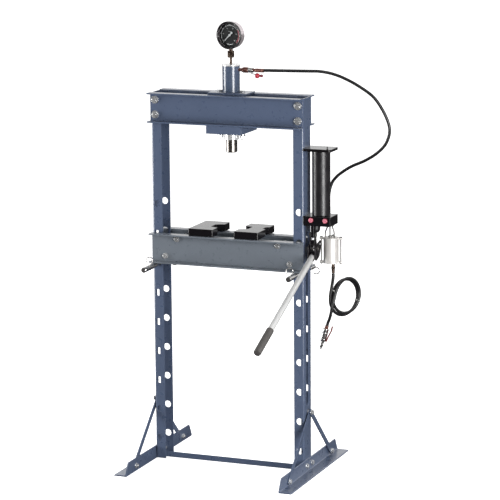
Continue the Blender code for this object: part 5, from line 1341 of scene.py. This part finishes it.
def build_air_motor():
    cover = 0.009
    axis = Matrix.Translation((MOTOR_X, MOTOR_Y, 0.0))
    bm = bmesh.new()
    for low in (MOTOR_BOTTOM + 0.0008, MOTOR_TOP - cover + 0.0008):
        prism(bm, cover_outline(MOTOR_RADIUS), cover - 0.0016, Matrix.Translation((0.0, 0.0, low)))
    low, high = MOTOR_BOTTOM + cover - 0.001, MOTOR_TOP - cover + 0.001
    for low, high, inset in ((low, high, 0.0015), (MOTOR_BOTTOM, MOTOR_BOTTOM + 0.002, 0.004),
                             (MOTOR_TOP - 0.002, MOTOR_TOP, 0.004)):
        radius = MOTOR_RADIUS - inset
        lathe(bm, axis, ((0.0, low), (radius, low), (radius, high), (0.0, high)), 80)
    show("air_motor_fine", bm, "aluminium", "frame", ["air_motor"], bevel=0.0008)
    rods = bmesh.new()
    for x, y in lug_positions():
        cylinder(rods, (x, y, MOTOR_BOTTOM - 0.001), (x, y, MOTOR_TOP + 0.001), 0.0024)
        hex_end(rods, (x, y, MOTOR_TOP - 0.0008), (0.0, 0.0, 1.0), 0.0026, height=0.0026, washer=0.0007)
        hex_end(rods, (x, y, MOTOR_BOTTOM + 0.0008), (0.0, 0.0, -1.0), 0.0026, height=0.0026, washer=0.0007,
                stub=0.0016)
    show("air_motor_tie_rods", rods, "dark_bolt", "frame", bevel=0.0003)
    y, top = MOTOR_Y, BLOCK_LOW.z - GAP
    bm = bmesh.new()
    block(bm, (0.3690, y - 0.008, top - 0.003), (0.3985, y + 0.008, top))
    for top_x, low_x in ((0.3735, 0.3665), (0.3940, 0.4000)):
        leg = [Vector((top_x, y, top - 0.0015)), Vector((top_x, y, top - 0.010)),
               Vector((low_x, y, MOTOR_TOP + 0.018)), Vector((low_x, y, MOTOR_TOP + GAP))]
        add_tube(bm, smooth_points(leg, 0.002), 0.0026)
    lathe(bm, Matrix.Translation((0.3838, y, 0.0)), (
        (0.0, MOTOR_TOP + GAP), (0.0065, MOTOR_TOP + GAP), (0.0065, MOTOR_TOP + 0.0050),
        (0.0055, MOTOR_TOP + 0.0060), (0.0026, MOTOR_TOP + 0.0062), (0.0026, top - 0.0015),
        (0.0, top - 0.0015)), 40)
    show("air_motor_bracket_fine", bm, "dark_bolt", "frame",
         ["air_motor_bracket"], sharp=40.0)
    bm = bmesh.new()
    fitting = Matrix.Translation((INLET.x, INLET.y, 0.0))
    lathe(bm, fitting, (
        (0.0, MOTOR_BOTTOM - GAP), (0.0065, MOTOR_BOTTOM - GAP), (0.0065, 0.7860), (0.0058, 0.7852),
        (0.0058, 0.7790), (0.0, 0.7790)), 40)
    prism(bm, hexagon(0.0062, 0.2), 0.0090, fitting @ Matrix.Translation((0.0, 0.0, 0.7700)))
    lathe(bm, fitting, (
        (0.0, 0.7700), (0.0062, 0.7700), (0.0062, 0.7660), (0.0055, 0.7655), (0.0055, 0.7645),
        (0.0062, 0.7640), (0.0062, 0.7605), (0.0055, 0.7600), (0.0055, 0.7590), (0.0062, 0.7585),
        (0.0060, 0.7545), (0.0, 0.7545)), 40)
    show("air_inlet_fitting_fine", bm, "dark_brass", "frame",
         ["air_inlet_fitting"], bevel=0.0003)
    bm = bmesh.new()
    x, y, low = HYDRAULIC_ROUTE[-1]
    z = (BLOCK_LOW.z + BLOCK_HIGH.z) / 2
    elbow = [(x, PUMP_HALF_Y + GAP, z), (x, y - 0.008, z), (x, y - 0.002, z + 0.002), (x, y, z + 0.008),
             (x, y, low - GAP)]
    add_tube(bm, smooth_points(elbow, 0.002), 0.0070)
    show("hose_elbow_fine", bm, "steel", "frame", ["hose_elbow"], sharp=50.0)


# --------------------------------------------------------------------- stage
WORLD_FRONT = 0.16          # brightness of the studio in front of the press
WORLD_BACK = 1.15           # and behind it
FLOOR_LIFT = 0.85           # keeps the far floor as pale as the lit floor under the press
FLOOR_BOUNCE = 0.07         # share of the light that the floor throws back onto the press
FLOOR_SIZE = 60.0
LIGHT_AIM = Vector((0.0, 0.0, 0.9))
# name, place, width and height, watts
SOFTBOXES = (
    ("left_light", (-3.05, -1.05, 1.0), (1.5, 2.2), 140.0),
    ("right_light", (2.60, -1.95, 1.0), (1.3, 2.2), 150.0),
    ("front_light", (-0.6, -3.6, 2.9), (2.0, 1.2), 15.0),
    ("top_light", (0.0, 0.3, 4.6), (3.0, 3.0), 12.0),
)


def floor_finish():
    """Pale and evenly lit where it is looked at, and dimmer in what it throws back onto the press."""
    made = bpy.data.materials.new("pale_floor")
    made.use_nodes = True
    tree = made.node_tree
    tree.nodes.clear()
    pale = node_of(tree, "ShaderNodeBsdfDiffuse", Color=(0.92, 0.92, 0.92, 1.0))
    lift = node_of(tree, "ShaderNodeEmission", Color=(1.0, 1.0, 1.0, 1.0), Strength=FLOOR_LIFT)
    lifted = node_of(tree, "ShaderNodeAddShader")
    dim = node_of(tree, "ShaderNodeBsdfDiffuse", Color=(FLOOR_BOUNCE, FLOOR_BOUNCE, FLOOR_BOUNCE, 1.0))
    looked_at = node_of(tree, "ShaderNodeLightPath").outputs["Is Camera Ray"]
    both = node_of(tree, "ShaderNodeMixShader")
    out = node_of(tree, "ShaderNodeOutputMaterial")
    tree.links.new(pale.outputs[0], lifted.inputs[0])
    tree.links.new(lift.outputs[0], lifted.inputs[1])
    tree.links.new(looked_at, both.inputs[0])
    tree.links.new(dim.outputs[0], both.inputs[1])
    tree.links.new(lifted.outputs[0], both.inputs[2])
    tree.links.new(both.outputs[0], out.inputs["Surface"])
    return made


def build_stage():
    """Pale floor out to a white distance, and soft light."""
    bm = bmesh.new()
    bmesh.ops.create_grid(bm, x_segments=1, y_segments=1, size=FLOOR_SIZE)
    floor = bpy.data.objects.new("floor", mesh_of(bm, "floor"))
    bpy.context.scene.collection.objects.link(floor)
    floor.data.materials.append(floor_finish())
    world = bpy.data.worlds.new("studio")
    bpy.context.scene.world = world
    world.use_nodes = True
    tree = world.node_tree
    tree.nodes.clear()
    light = node_of(tree, "ShaderNodeBackground", Strength=1.0)
    direction = node_of(tree, "ShaderNodeTexCoord").outputs["Generated"]
    parts = node_of(tree, "ShaderNodeSeparateXYZ")
    tree.links.new(direction, parts.inputs[0])
    toward_front = remap(tree, parts.outputs["Y"], 0.0, 0.30, WORLD_FRONT, WORLD_BACK)
    grey = node_of(tree, "ShaderNodeCombineColor")
    for socket in grey.inputs[:3]:
        tree.links.new(toward_front, socket)
    tree.links.new(grey.outputs[0], light.inputs["Color"])
    seen = node_of(tree, "ShaderNodeBackground", Color=(1.0, 1.0, 1.0, 1.0), Strength=1.02)
    path = node_of(tree, "ShaderNodeLightPath").outputs["Is Camera Ray"]
    both = node_of(tree, "ShaderNodeMixShader")
    out = node_of(tree, "ShaderNodeOutputWorld")
    tree.links.new(path, both.inputs[0])
    tree.links.new(light.outputs[0], both.inputs[1])
    tree.links.new(seen.outputs[0], both.inputs[2])
    tree.links.new(both.outputs[0], out.inputs["Surface"])
    for lamp in SOFTBOXES:
        softbox(*lamp)
    bpy.context.scene.view_settings.view_transform = "Standard"


def softbox(name, place, size, power):
    data = bpy.data.lights.new(name, "AREA")
    data.shape = "RECTANGLE"
    data.size, data.size_y = size
    data.energy = power
    lamp = bpy.data.objects.new(name, data)
    bpy.context.scene.collection.objects.link(lamp)
    turn = (LIGHT_AIM - Vector(place)).to_track_quat("-Z", "Y").to_matrix().to_4x4()
    lamp.matrix_world = Matrix.Translation(Vector(place) + ORIGIN) @ turn


build_camera()
build_hoses()
build_upright("left_upright", -1)
build_upright("right_upright", 1)
build_crown()
build_base()
build_bed()
build_press_plates()
build_cylinder()
build_gauge()
build_coupler()
build_pump()
build_lever()
build_air_motor()
build_stage()
